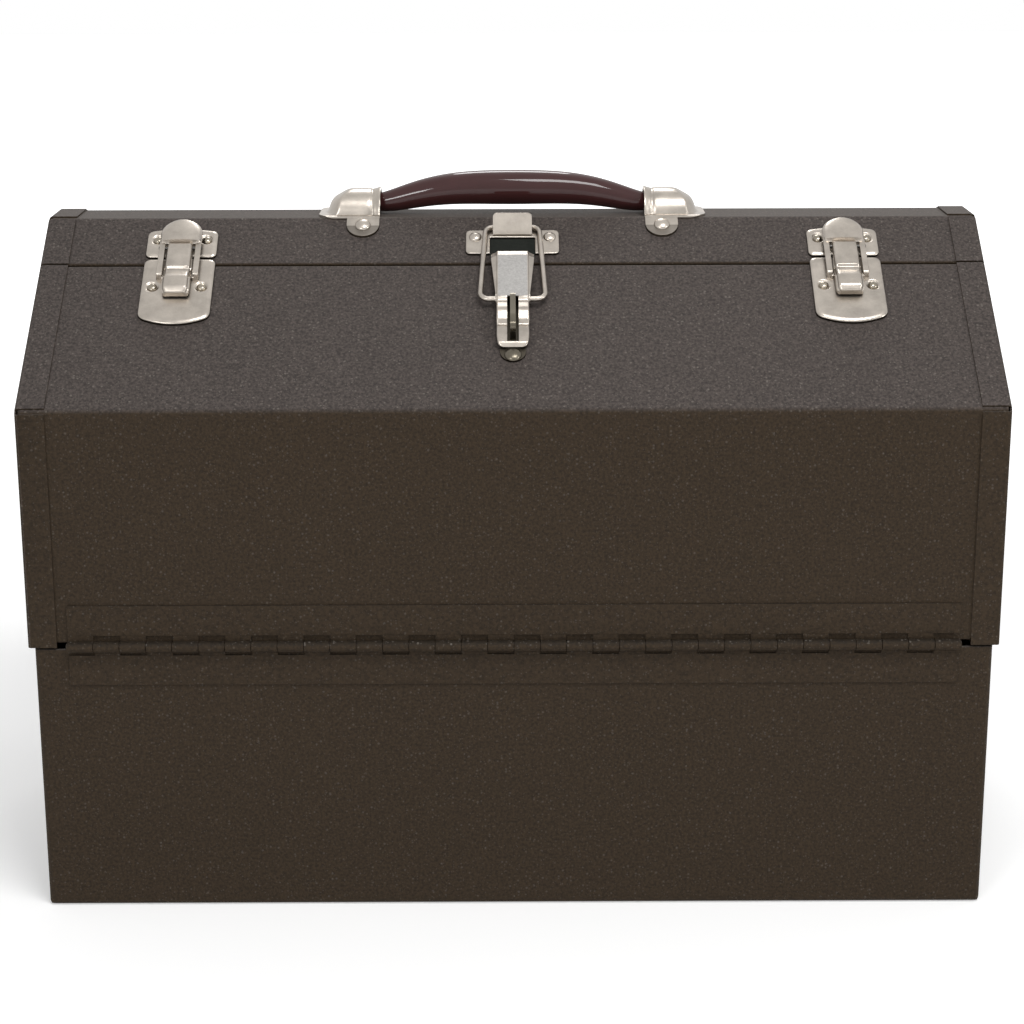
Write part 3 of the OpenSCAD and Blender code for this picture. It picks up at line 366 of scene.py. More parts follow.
# %% [markdown]
# ## Softened sheet
# A real sheet edge is never sharp, least of all under paint. Each CAD piece that keeps its shape is
# copied, its loose triangles are joined into whole faces, and a small bevel rounds every edge that
# turns sharply. The hinge pins were sprayed with the box. The latches' pins and the draw latch's
# base get darker metal: painted shade, for they sit in the shade of the levers.

# %% A softened copy of a CAD piece
PAINTED_OVER = ("front_hinge_pin", "rear_hinge_pin")
# pins that sit in the levers' shade and get the painted-shade steel
SHADED_PINS = [f"{kind}_pin_{side}" for kind in ("hasp", "lever") for side, _ in SIDES]
WELD = 0.002
own_finish = {node: shaded_steel for node in (*SHADED_PINS, "draw_lever_pin")}
# the draw latch's base lies in the lever's shade and gets the painted-shade nickel
own_finish["draw_latch_base"] = shaded_nickel


def link(name, mesh):
    piece = bpy.data.objects.new(name, mesh)
    bpy.context.scene.collection.objects.link(piece)
    return piece


def made(name, mesh):
    """Object with the finished bmesh."""
    data = bpy.data.meshes.new(name)
    mesh.to_mesh(data)
    mesh.free()
    return link(name, data)


def from_points(name, points, edges=(), faces=()):
    data = bpy.data.meshes.new(name)
    data.from_pydata(points, edges, faces)
    return link(name, data)


def plain_mesh(piece):
    """Turn the piece's modifiers into its mesh."""
    graph = bpy.context.evaluated_depsgraph_get()
    mesh = bpy.data.meshes.new_from_object(piece.evaluated_get(graph))
    piece.modifiers.clear()
    piece.data = mesh


def fit_to_frame(piece, *nodes, finish=None):
    """Let the evenly shaded piece stand for CAD nodes of one body, in their finish or its own."""
    even = piece.modifiers.new("even shading", "WEIGHTED_NORMAL")
    even.weight = 100
    even.keep_sharp = True
    plain_mesh(piece)
    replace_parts(piece, *nodes)
    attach(piece, body_of[nodes[0]])
    slot = "skin" if nodes[0] in PAINTED_OVER else slot_of[nodes[0]]
    piece.data.materials.clear()
    piece.data.materials.append(finish or finish_of[slot])


def round_edges(piece, width, segments=2, sharp=32):
    """Bevel the sharp edges, shade smoothly and keep the plain mesh."""
    piece.data.shade_smooth()
    bevel = piece.modifiers.new("rounded edges", "BEVEL")
    bevel.width = width * MM
    bevel.segments = segments
    bevel.limit_method = "ANGLE"
    bevel.angle_limit = math.radians(sharp)
    bevel.use_clamp_overlap = True
    plain_mesh(piece)


def soften(node, width=0.25):
    piece = link(f"soft_{node}", frame["nodes"][node].data.copy())
    mesh = bmesh.new()
    mesh.from_mesh(piece.data)
    bmesh.ops.remove_doubles(mesh, verts=mesh.verts, dist=WELD * MM)
    bmesh.ops.dissolve_limit(
        mesh, angle_limit=math.radians(0.5), verts=mesh.verts, edges=mesh.edges)
    mesh.to_mesh(piece.data)
    mesh.free()
    round_edges(piece, width)
    fit_to_frame(piece, node, finish=own_finish.get(node))


# %% [markdown]
# ## Rounded outlines
# Pressed parts are drawn as a designer would draw them: a few corners, each with its radius. One
# function turns the corners into arcs, and another moves a closed outline inwards.

# %% Outlines
ARC_STEP = 70


def rounded(corners, closed=True, step=14):
    """Points of an outline whose corners (x, y, radius) are turned into arcs.

    An arc's steps are at most step degrees, and at most ARC_STEP degrees over its radius."""
    points = []
    count = len(corners)
    for i, (x, y, radius) in enumerate(corners):
        here = Vector((x, y))
        if radius == 0 or (not closed and i in (0, count - 1)):
            points.append(here)
            continue
        before = (Vector(corners[i - 1][:2]) - here).normalized()
        after = (Vector(corners[(i + 1) % count][:2]) - here).normalized()
        half = before.angle(after) / 2
        centre = here + (before + after).normalized() * (radius / math.sin(half))
        start = here + before * (radius / math.tan(half)) - centre
        end = here + after * (radius / math.tan(half)) - centre
        sweep = math.atan2(start.x * end.y - start.y * end.x, start.dot(end))
        steps = max(2, round(abs(math.degrees(sweep)) / min(step, ARC_STEP / radius)))
        turns = [Matrix.Rotation(sweep * k / steps, 2) for k in range(steps + 1)]
        points += [centre + turn @ start for turn in turns]
    return points


def spaced(points, reach):
    """The closed outline with points added, so that none are further apart than reach."""
    result = []
    for a, b in zip(points, points[1:] + points[:1]):
        steps = math.ceil((b - a).length / reach)
        result += [a.lerp(b, k / steps) for k in range(steps)]
    return result


def inset(points, distance):
    """The closed outline, which runs anticlockwise, moved inwards."""
    moved = []
    for i, here in enumerate(points):
        along = (here - points[i - 1]).normalized()
        onward = (points[(i + 1) % len(points)] - here).normalized()
        inward = Vector((-along.y - onward.y, along.x + onward.x)).normalized()
        facing = inward.dot(Vector((-along.y, along.x)))
        moved.append(here + inward * (distance / max(0.5, facing)))
    return moved


def inside(point, outline):
    """Whether the point lies in the closed outline."""
    within = False
    for a, b in zip(outline, outline[-1:] + outline[:-1]):
        if (a.y > point.y) != (b.y > point.y):
            within ^= point.x < a.x + (b.x - a.x) * (point.y - a.y) / (b.y - a.y)
    return within


def span(values):
    return max(values) - min(values)


def middle(values):
    return (max(values) + min(values)) / 2


def smooth_step(value, low, high):
    t = min(1.0, max(0.0, (value - low) / (high - low)))
    return t * t * (3 - 2 * t)


# %% [markdown]
# ## Pressings
# A plate is pressed between two dies, so its face is a height over its outline: a rolled edge, then
# a flat or crowned face with dishes for the rivets. A few rings follow the outline, circles follow
# each dish, and a Delaunay triangulation fills the rest. A wall and an underside close the shape.

# %% A pressed plate
EDGE = ((0.0, 1.25), (0.2, 1.5), (0.6, 1.74), (1.1, 1.96), (1.7, 2.12), (2.4, 2.2))
DISH = 0.7
DISH_FLAT, DISH_R = 2.5, 3.7
DISH_RINGS = (2.3, 2.6, 2.9, 3.2, 3.5, 3.75, 4.1)
DISH_POINTS = 28
RIM_STEP = 2.5
SPOT_MARGIN = 0.25


def dish_relief(seats):
    """Depth of the rivet dishes at a place on the plate."""
    def relief(point):
        away = [(point - seat).length for seat in seats]
        return -DISH * sum(1 - smooth_step(distance, DISH_FLAT, DISH_R) for distance in away)

    return relief


def pressing(
        name, corners, place, edge=EDGE, relief=lambda point: 0.0, seats=(), grid=0.0, base=0.0):
    """Closed plate: edge is a list of (inset, height), relief is added inside the last ring."""
    outline = spaced(rounded(corners), RIM_STEP)
    loops = [inset(outline, distance) if distance else outline for distance, height in edge]
    points = [point for loop in loops for point in loop]
    heights = [height for distance, height in edge for point in outline]
    count = len(outline)
    ties = [
        (ring * count + i, ring * count + (i + 1) % count)
        for ring in range(len(loops)) for i in range(count)]
    turns = [math.tau * k / DISH_POINTS for k in range(DISH_POINTS)]
    spots = [
        seat + Vector((radius * math.cos(turn), radius * math.sin(turn)))
        for seat in seats for radius in DISH_RINGS for turn in turns]
    spots += seats
    if grid:
        xs = [point.x for point in outline]
        ys = [point.y for point in outline]
        spots += [
            Vector((min(xs) + (i + 0.5 * (j % 2) + 0.25) * grid, min(ys) + (j + 0.5) * grid))
            for j in range(round(span(ys) / grid)) for i in range(round(span(xs) / grid))]
    field = inset(outline, edge[-1][0] + SPOT_MARGIN)
    spots = [spot for spot in spots if inside(spot, field)]
    top = edge[-1][1]
    flat, _, faces, origins, *_ = delaunay_2d_cdt(points + spots, ties, [], 1, 1e-5)
    mesh = bmesh.new()
    verts = []
    for point, origin in zip(flat, origins):
        first = origin[0] if origin else len(points)
        height = heights[first] if first < len(points) - count else top + relief(point)
        verts.append(mesh.verts.new(place(point.x, point.y, height)))
    for face in faces:
        mesh.faces.new([verts[i] for i in face])
    rim = [edge for edge in mesh.edges if len(edge.link_faces) == 1]
    wall = bmesh.ops.extrude_edge_only(mesh, edges=rim)["geom"]
    low = [item for item in wall if isinstance(item, bmesh.types.BMVert)]
    drop = place(0, 0, base) - place(0, 0, edge[0][1])
    bmesh.ops.translate(mesh, verts=low, vec=drop)
    bmesh.ops.contextual_create(mesh, geom=[e for e in mesh.edges if len(e.link_faces) == 1])
    bmesh.ops.recalc_face_normals(mesh, faces=mesh.faces)
    piece = made(name, mesh)
    piece.data.shade_smooth()
    piece.data.set_sharp_from_angle(angle=math.radians(50))
    return piece


def join(name, pieces):
    """One object that holds the meshes of several."""
    mesh = bmesh.new()
    for piece in pieces:
        mesh.from_mesh(piece.data)
        bpy.data.objects.remove(piece)
    return made(name, mesh)


# %% [markdown]
# ## Folded sheet
# A lever or a bracket is a strip that bends along its length while its section folds down at the
# sides. Rows of points across the strip make a grid of faces, and Solidify gives it the sheet's
# thickness on the inner side.

# %% A lofted sheet and a bar
def rounded_half(half, radius, reach):
    """Half width where a corner of this radius has come round by reach, from 0 to 1."""
    reach = min(1.0, max(0.0, reach))
    return half - radius + radius * math.sqrt(1 - reach ** 2)


def oblong(u0, n0, u1, n1, low=0, high=0):
    """Corners of an oblong with one radius at its low end and one at its high end."""
    return [(u0, n0, low), (u1, n0, low), (u1, n1, high), (u0, n1, high)]


def end_steps(path, parts):
    """The path with its last stretch cut at these parts of its length."""
    return path[:-1] + [path[-2].lerp(path[-1], part) for part in parts]


def loft(name, rows, thickness, place, outward, is_open=lambda row, column: False, soft=0.2):
    """Sheet through the rows of points; the face looks along the vector outward."""
    mesh = bmesh.new()
    grid = [[mesh.verts.new(place(*point)) for point in row] for row in rows]
    for i in range(len(rows) - 1):
        for j in range(len(rows[0]) - 1):
            if not is_open(i, j):
                mesh.faces.new((grid[i][j], grid[i][j + 1], grid[i + 1][j + 1], grid[i + 1][j]))
    loose = [vert for vert in mesh.verts if not vert.link_faces]
    bmesh.ops.delete(mesh, geom=loose, context="VERTS")
    bmesh.ops.remove_doubles(mesh, verts=mesh.verts, dist=0.01 * MM)
    mesh.normal_update()
    if sum((face.normal * face.calc_area() for face in mesh.faces), Vector()).dot(outward) < 0:
        bmesh.ops.reverse_faces(mesh, faces=mesh.faces)
    piece = made(name, mesh)
    shell = piece.modifiers.new("sheet", "SOLIDIFY")
    shell.thickness = thickness * MM
    shell.offset = -1
    round_edges(piece, soft, 2, 50)
    return piece


def extruded(name, corners, x0, x1, place, soft=0.3):
    """Bar with a rounded side outline of (u, n) corners, between two places along x."""
    mesh = bmesh.new()
    ends = [[mesh.verts.new(place(x, *point)) for point in rounded(corners)] for x in (x0, x1)]
    mesh.faces.new(ends[0])
    mesh.faces.new(ends[1])
    for i in range(len(ends[0])):
        mesh.faces.new((ends[0][i - 1], ends[0][i], ends[1][i], ends[1][i - 1]))
    bmesh.ops.recalc_face_normals(mesh, faces=mesh.faces)
    piece = made(name, mesh)
    round_edges(piece, soft)
    return piece


def channel_rows(profile, half_width, corner, floor, slot_half=0.4, foot=None):
    """Rows of a channel: its profile is (u, n) points, and half_width, floor and foot (half the
    width at the walls' lower edge) follow u."""
    rows = []
    for u, n in profile:
        half = half_width(u)
        low = min(floor(u), n)
        lean = (foot(u) if foot else half) - half
        arc = [math.radians(90 * k / 4) for k in range(5)]
        right = [(slot_half + part * (half - corner - slot_half), n) for part in (0, 0.5)]
        right += [
            (half - corner + corner * math.sin(a), max(low, n - corner + corner * math.cos(a)))
            for a in arc]
        right += [(half + lean, max(low, n - corner - lean * 0.6)), (half + lean, low)]
        section = [(-x, height) for x, height in reversed(right)] + right
        rows.append([(x, u, height) for x, height in section])
    return rows


# %% [markdown]
# ## Side latches
# Each side latch is a wide pressed base below the split, a strike above it, and a hasp between
# them: two rails that end in a crowned half-moon cap. The finger lever is a channel that rolls over
# the hasp's cross pin and swells at its lower end. Its profile is a few corners with their radii.

# %% Plates and hasps of the side latches
PLATE_HALF = 17.5
BASE_RIVET_U, STRIKE_RIVET_U, RIVET_X = -17.3, 16.2, 12.0
LUG_X, LUG_W = (-5.6, 3.4), 2.2
RAIL_IN, RAIL_OUT = 7.4, 10.3
RAIL_TOP = 5.9
CAP_R, CAP_U, CAP_CUT = 10.3, 16.4, 9.3
CAP_EDGE = ((0.0, -0.55), (0.15, -0.2), (0.45, 0.1), (0.9, 0.4))
CROWN = 1.9


def crown_relief(point):
    """Rise of the cap, which is highest at the cut edge and falls away to the round one."""
    across = point.x / (CAP_R + 0.4)
    back = max(0.0, point.y - CAP_CUT - 2) / (CAP_U + CAP_R - CAP_CUT - 1.6)
    return CROWN * math.sqrt(max(0.0, 1 - across ** 2 - back ** 2)) - 0.3


def latch_plates(name, side):
    place = at_latch(side)
    w = PLATE_HALF
    base_seats = [Vector((x, BASE_RIVET_U)) for x in (-RIVET_X, RIVET_X)]
    base_outline = [(-w, -37.5, 5), (0, -45.4, 34), (w, -37.5, 5), (w, 2.6, 3.2), (-w, 2.6, 3.2)]
    base = pressing(
        f"base_{name}", base_outline, place, relief=dish_relief(base_seats), seats=base_seats)
    lug = oblong(-13.5, 0.3, -10.1, 3.8, high=1.2)
    lugs = [extruded("lug", lug, x, x + LUG_W, place) for x in LUG_X]
    fit_to_frame(join(f"latch_plate_{name}", [base, *lugs]), f"latch_base_{name}")
    seats = [Vector((x, STRIKE_RIVET_U)) for x in (-RIVET_X, RIVET_X)]
    strike_outline = [(-w, 4.2, 2.8), (w, 4.2, 2.8), (w, 22.8, 3.4), (0, 25.5, 30), (-w, 22.8, 3.4)]
    strike_edge = [(distance, height - 0.2) for distance, height in EDGE]
    strike = pressing(
        f"strike_plate_{name}", strike_outline, place, strike_edge, dish_relief(seats), seats)
    hook = extruded("hook", oblong(13.4, 1.9, 16.4, 3.5, high=0.7), -4, 4, place)
    fit_to_frame(join(f"strike_{name}_pressed", [strike, hook]), f"strike_{name}")


def hasp(name, side):
    place = at_latch(side)
    u, n = HASP_PIN
    rail_low, rail_high = RAIL_TOP - 1.3, RAIL_TOP - 0.1
    rail = [
        (u + 0.2, n - 0.9, 0.5), (u + 2.4, rail_low, 0.8), (CAP_U - 1, rail_low, 0),
        (CAP_U - 1, rail_high, 0), (u - 0.2, rail_high, 1.2), (u - 1.1, n - 0.4, 0.6)]
    toe = oblong(u - 1, n - 0.8, u + 1, 3.9, 0.4, 0.5)
    parts = [
        extruded("rail", rail, x, x + RAIL_OUT - RAIL_IN, place, 0.35)
        for x in (-RAIL_OUT, RAIL_IN)]
    parts += [extruded("toe", toe, x - 0.8, x + 0.8, place, 0.35) for x in (-RAIL_IN, RAIL_IN)]
    arc = [math.radians(-6 + 192 * k / 26) for k in range(27)]
    moon = [
        (-CAP_R + 0.1, CAP_CUT + 0.7, 0.5), (-CAP_R + 1.2, CAP_CUT, 0.5),
        (CAP_R - 1.2, CAP_CUT, 0.5), (CAP_R - 0.1, CAP_CUT + 0.7, 0.5)]
    moon += [(CAP_R * math.cos(a), CAP_U + CAP_R * math.sin(a), 0) for a in arc]
    rolled = [(distance, RAIL_TOP + rise) for distance, rise in CAP_EDGE]
    cap = pressing(f"cap_{name}", moon, place, rolled, crown_relief, (), 1.1, RAIL_TOP - 1.1)
    fit_to_frame(join(f"hasp_{name}_formed", [*parts, cap]), f"hasp_{name}")


for side_name, side_sign in SIDES:
    latch_plates(side_name, side_sign)
    hasp(side_name, side_sign)

# %% Finger levers of the side latches
LEVER_TOP, LEVER_TIP, LEVER_FLOOR = 7.2, -25.2, 3.3
LEVER_HALF, LEVER_CORNER = 6.05, 1.5
LEVER_PROFILE = (
    (6.2, 2.9, 0), (9.4, 2.9, 2.1), (9.4, LEVER_TOP, 2.2), (-7.8, LEVER_TOP, 0.6),
    (-9.0, LEVER_TOP - 1.0, 0.6), (-11.5, LEVER_TOP - 0.7, 3), (-15.5, LEVER_TOP + 1.0, 5),
    (-22.6, LEVER_TOP + 0.7, 3), (LEVER_TIP, LEVER_TOP - 1.0, 1.5), (LEVER_TIP, LEVER_FLOOR, 0))


def lever_half(u):
    """Half width of the finger lever, rounded at its lower corners."""
    return rounded_half(LEVER_HALF, 1.6, (LEVER_TIP + 3.0 - u) / 3.0)


def lever_foot(u):
    """Half width at the walls' foot, which leans out below the pin."""
    return lever_half(u) + 0.7 * (1 - smooth_step(u, 0, 5))


def lever_floor(u):
    """Lower edge of the side walls."""
    return LEVER_FLOOR + 1.2 * smooth_step(u, 4, 9)


lever_profile = rounded(LEVER_PROFILE, closed=False, step=11)
for side_name, side_sign in SIDES:
    rows = channel_rows(lever_profile, lever_half, LEVER_CORNER, lever_floor, foot=lever_foot)
    lever = loft(f"finger_lever_{side_name}", rows, 0.9, at_latch(side_sign), slope_out)
    fit_to_frame(lever, f"latch_lever_{side_name}")

# %% [markdown]
# ## Centre latch
# The draw lever is a channel too. Below a bend it is slotted into two curved prongs that meet again
# at a rounded tip, so that a padlock's eye can stand between them. The keeper above it is a flat
# plate with a window, and a lip is turned up from the window's top.

# %% Draw lever and keeper
DRAW_TOP, DRAW_TIP = 7.6, -59.5
BEND_U = -30.0
DRAW_HALF, PRONG_IN, PRONG_R = 7.9, 2.8, 3.6
DRAW_PROFILE = (
    (-0.6, 2.2, 0), (2.9, 2.2, 2.0), (2.9, DRAW_TOP - 1.0, 1.3), (-1.0, DRAW_TOP, 0.6),
    (BEND_U, DRAW_TOP, 0.9), (BEND_U - 2.0, DRAW_TOP - 1.2, 2.4), (-38.5, DRAW_TOP + 0.2, 6),
    (-43.6, DRAW_TOP - 1.9, 2.4), (-45.6, DRAW_TOP - 3.8, 1.4), (-47.4, DRAW_TOP - 3.2, 1.2),
    (-52.5, DRAW_TOP - 3.2, 5), (-57.5, DRAW_TOP - 3.5, 1.8), (DRAW_TIP, DRAW_TOP - 4.9, 0))
DRAW_END = (0.3, 0.55, 0.75, 0.9, 0.97, 1)
DRAW_CORNER = 0.8
SLOT_LOW, SLOT_HIGH = -54.5, BEND_U + 3.2
BAIL_U, BAIL_N = -29.0, 4.5
EYE_R, EYE_X, EYE_T = 2.4, (-8.6, 7.4), 1.2


def draw_half(u):
    """Half width of the face: straight as far as the prongs' round tip."""
    return rounded_half(DRAW_HALF, PRONG_R, (DRAW_TIP + 4.6 - u) / 4.6)


def draw_foot(u):
    """Half width at the walls' lower edge, which leans out towards the pin."""
    lean = 2.4 * min(1.0, max(0.0, (u - BEND_U) / 27))
    return draw_half(u) + lean + 0.3 * smooth_step(u, BEND_U - 1, BEND_U + 1)


def draw_floor(u):
    """Lower edge of the side walls, which end just past the bend."""
    return 2.9 + 3.2 * smooth_step(-u, 27, 32) - 3.0 * smooth_step(-u, 42, 46)


draw_profile = end_steps(rounded(DRAW_PROFILE, closed=False, step=11), DRAW_END)
rows = channel_rows(draw_profile, draw_half, DRAW_CORNER, draw_floor, PRONG_IN, draw_foot)
middle_column = len(rows[0]) // 2 - 1


def in_slot(row, column):
    return column == middle_column and SLOT_LOW < draw_profile[row].x < SLOT_HIGH


draw = loft("draw_lever_formed", rows, 1.0, on_slope, slope_out, in_slot)
eye = oblong(BAIL_U - EYE_R, BAIL_N - EYE_R, BAIL_U + EYE_R, BAIL_N + EYE_R, 2.3, 2.3)
eyes = [extruded("bail_eye", eye, x, x + EYE_T, on_slope) for x in EYE_X]


def worn_face(r):
    """Nickel whose flat face has worn to a cooler, mottled grey."""
    warm = plated(*NICKEL)(r)
    flat = r.along(slope_out, r.normal())
    above_bend = r.along(slope_up) > on_slope(0, BEND_U, 0).dot(slope_up)
    spots = ((r.noise(1.1 * MM, 3, 0.7) - 0.5) * 2 + 0.5).clamped()
    cool = r.mix(spots, rgba((0.335, 0.322, 0.31)), rgba((0.50, 0.485, 0.465)))
    worn = ((flat - 0.985) * 100).clamped() * above_bend
    return warm | {"Base Color": r.mix(worn, warm["Base Color"], cool)}


worn_nickel = new_material("worn_nickel", worn_face)
fit_to_frame(join("draw_lever_whole", [draw, *eyes]), "draw_lever", finish=worn_nickel)

KEEPER_HALF, KEEPER_LOW, KEEPER_HIGH = 23.2, 6.2, 23.0
KEEPER_EDGE = ((0.0, 1.1), (0.12, 1.3), (0.35, 1.45), (0.7, 1.5))
PLATE_T = 1.5
LIP_HALF, LIP_U, LIP_TILT, LIP_LENGTH = 9.7, 18.8, 62, 12.5
LIP_T, LIP_CORNER = 1.1, 1.9
LIP_END = (0.5, 0.84, 0.88, 0.92, 0.96, 0.985, 1)
WINDOW_HALF, WINDOW_TOP = LIP_HALF + 1.5, LIP_U - 1.0
SHADE_LOW, SHADE_EDGE = 4, ((0.0, 0.2), (0.3, 0.35))
keeper_plate = pressing("keeper_plate", [
    (-KEEPER_HALF, KEEPER_LOW, 2.4), (-WINDOW_HALF, KEEPER_LOW, 0.6),
    (-WINDOW_HALF, WINDOW_TOP, 0.6), (WINDOW_HALF, WINDOW_TOP, 0.6),
    (WINDOW_HALF, KEEPER_LOW, 0.6), (KEEPER_HALF, KEEPER_LOW, 2.4),
    (KEEPER_HALF, KEEPER_HIGH, 2.4), (-KEEPER_HALF, KEEPER_HIGH, 2.4)], on_slope, KEEPER_EDGE)
tilt = math.radians(LIP_TILT)
fold_u = LIP_U - 0.4
lip_top = (fold_u + LIP_LENGTH * math.cos(tilt), PLATE_T + (LIP_LENGTH - 0.9) * math.sin(tilt), 0)
lip_path = rounded(
    [(LIP_U + 3, PLATE_T, 0), (fold_u, PLATE_T, 0.6), lip_top], closed=False, step=11)
corner_n = lip_path[-1].y - LIP_CORNER
lip_rows = []
for point in end_steps(lip_path, LIP_END):
    half = rounded_half(LIP_HALF, LIP_CORNER, (point.y - corner_n) / LIP_CORNER)
    lip_rows.append([(half * part, point.x, point.y) for part in (-1, -0.9, -0.5, 0, 0.5, 0.9, 1)])
lip = loft("keeper_lip", lip_rows, LIP_T, on_slope, slope_out - slope_up, soft=0.3)
fit_to_frame(join("keeper_formed", [keeper_plate, lip]), "keeper")


def painted_window_shadow(r):
    """Painted shadow: the dark slope seen through the keeper's window, in the shade of the lip."""
    spots = r.mix(r.noise(1.7 * MM), rgba((0.009, 0.0105, 0.009)), rgba((0.02, 0.022, 0.019)))
    return {"Base Color": spots, "Roughness": 0.8, "Specular IOR Level": 0.1}


# A dark sheet in the keeper's window is painted shadow under the lip.
window = oblong(-WINDOW_HALF, SHADE_LOW, WINDOW_HALF, WINDOW_TOP)
shade = pressing("keeper_window_shadow", window, on_slope, SHADE_EDGE)
fit_to_frame(shade, "keeper", finish=new_material("painted_window_shadow", painted_window_shadow))
print("latches made")

# %% [markdown]
# ## Handle brackets
# A bracket is one pressing: a half-round tunnel over the grip's end, cut off at its outer end by a
# sloping hood, and a flange that follows the roof and folds down each slope, where a round tab
# carries the rivet. The mouth is flared, with a groove behind it. Each row across the bracket is a
# half circle, pushed down to the hood's height.

# %% Brackets
bracket_low, bracket_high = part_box("handle_bracket_right")
bracket_in, bracket_out = bracket_low.x / MM, bracket_high.x / MM
MOUTH_STEPS = (0, 0.3, 0.7, 1.2, 1.8, 2.4, 2.9, 3.3, 3.7, 4.0, 4.3, 4.7, 5.2, 5.9, 7, 9)
TUNNEL_R = 13.0
roof_z = bracket_high.z / MM - TUNNEL_R
FLANGE_HALF, FLANGE_T = 17.2, 1.1
TIP_R = 8.5
HOOD_BACK = 5.5
ROOF_HALF = 15.0
FOLD_R, FOLD_STEP = 2.4, 0.5
TAB_HALF, TAB_RUN, TAB_TOP = 8.25, 15.0, -13.5
TAB_EDGE = ((0.0, 0.8), (0.12, 1.0), (0.35, 1.06))
fold_start = ROOF_HALF - FOLD_R * math.tan(pitch / 2)


def mouth_swell(x):
    """How much wider the tunnel is at its flared mouth, and narrower in the groove."""
    run = x - bracket_in
    return 0.6 * (1 - smooth_step(run, 0.2, 2.6)) - 0.5 * math.exp(-((run - 4.0) / 0.9) ** 2)


hood = rounded([
    (bracket_in - 1, TUNNEL_R, 0), (bracket_out - 15, TUNNEL_R, 14),
    (bracket_out - 6.2, TUNNEL_R * 0.62, 8), (bracket_out - 3.6, FLANGE_T, 1.6),
    (bracket_out, FLANGE_T, 0)], closed=False, step=9)


def hood_height(x):
    for a, b in zip(hood, hood[1:]):
        if a.x <= x <= b.x:
            return a.y + (b.y - a.y) * (x - a.x) / (b.x - a.x)
    return hood[-1].y


def soft_min(a, b, width=0.45):
    """The lesser of two heights, with a fillet this wide where they cross."""
    blend = max(0.0, 1 - abs(a - b) / width)
    return min(a, b) - blend * blend * width / 4


def cover_height(x, across):
    """Height above the roof: a tunnel, cut off by a hood that falls back at the sides."""
    swell = mouth_swell(x)
    radius = TUNNEL_R + swell
    tunnel = math.sqrt(max(0.0, radius ** 2 - across ** 2))
    limit = hood_height(x + HOOD_BACK * (across / TUNNEL_R) ** 2) + max(0.0, swell)
    return max(FLANGE_T, soft_min(tunnel, limit))


def bracket_row(x):
    """One row across the bracket, from the front flange over the tunnel to the rear one."""
    radius = TUNNEL_R + mouth_swell(x)
    tip = (x - (bracket_out - TIP_R)) / TIP_R
    narrow = rounded_half(FLANGE_HALF, TIP_R, tip) / FLANGE_HALF
    half = [radius * math.cos(math.radians(90 - 5 * k)) for k in range(19)]
    half += [radius + 0.35, radius + 0.9]
    half += [fold_start + FOLD_STEP * k for k in range(5)] + [FLANGE_HALF]
    row = [-across for across in reversed(half)] + half[1:]
    return [(x, across * narrow, cover_height(x, across * narrow)) for across in row]


def over_roof(side):
    """Places x along the box, s across the roof and on down the slopes, n out of the sheet."""
    outer = FOLD_R + FLANGE_T

    def place(x, s, n):
        away = abs(s)
        turn = min(pitch, max(0.0, away - fold_start) / outer)
        run = max(0.0, away - fold_start - outer * turn)
        y = min(away, fold_start) + (FOLD_R + n) * math.sin(turn) + run * math.cos(turn)
        z = (FOLD_R + n) * math.cos(turn) - FOLD_R - run * math.sin(turn)
        return Vector((side * x, math.copysign(y, s), roof_z + z)) * MM

    return place


def bracket(name, side):
    place = over_roof(side)
    start = bracket_in + 11
    xs = [bracket_in + step for step in MOUTH_STEPS]
    xs += [start + (bracket_out - start) * math.sin(math.radians(90 * k / 34)) for k in range(35)]
    rows = [bracket_row(x) for x in xs]
    cover = loft(f"cover_{name}", rows, FLANGE_T, place, Vector((0, 0, 1)), soft=0.15)
    low, far, corner = -ROOF_HALF - TAB_RUN, bracket_in + 2 * TAB_HALF, TAB_HALF - 0.05
    outline = [
        (bracket_in, TAB_TOP, 0), (bracket_in, low, corner), (far, low, corner), (far, TAB_TOP, 0)]
    tabs = []
    for face in (1, -1):
        def down_slope(x, s, n):
            return place(x, face * s, n)
        tabs.append(pressing(f"tab_{name}", outline, down_slope, TAB_EDGE, grid=1.4))
    fit_to_frame(join(f"bracket_{name}_pressed", [cover, *tabs]), f"handle_bracket_{name}")


for side_name, side_sign in SIDES:
    bracket(side_name, side_sign)

# %% [markdown]
# ## Shapes that Geometry Nodes grow
# Rivets and hinge knuckles repeat, the bail is a wire along a bent path, and the grip follows a
# formula. Geometry Nodes suit all of them. The helper below makes a tree with named inputs, sets
# them, runs it and keeps the plain mesh.

# %% Growing a piece with a node tree
SOCKETS = {float: "NodeSocketFloat", int: "NodeSocketInt", tuple: "NodeSocketVector"}


def grow(piece, build, sizes, finish):
    """Run build(recipe, inputs) as a Geometry Nodes tree on the piece and keep its mesh."""
    tree = bpy.data.node_groups.new(piece.name, "GeometryNodeTree")
    tree.interface.new_socket("Geometry", in_out="INPUT", socket_type="NodeSocketGeometry")
    for size, value in sizes.items():
        tree.interface.new_socket(size, in_out="INPUT", socket_type=SOCKETS[type(value)])
    tree.interface.new_socket("Geometry", in_out="OUTPUT", socket_type="NodeSocketGeometry")
    g = Recipe(tree)
    start = tree.nodes.new("NodeGroupInput")
    given = {socket.name: Field(tree, socket) for socket in start.outputs if socket.name}
    real = g.add("GeometryNodeRealizeInstances", {"Geometry": build(g, given)})
    done = g.add("GeometryNodeSetMaterial", {"Geometry": real, "Material": finish})
    g.add("NodeGroupOutput", {"Geometry": done})
    modifier = piece.modifiers.new("grown", "NODES")
    modifier.node_group = tree
    for item in tree.interface.items_tree:
        if item.in_out == "INPUT" and item.name in sizes:
            modifier[item.identifier] = sizes[item.name]
    plain_mesh(piece)
    piece.data.shade_smooth()
    piece.data.set_sharp_from_angle(angle=math.radians(40))
    return piece


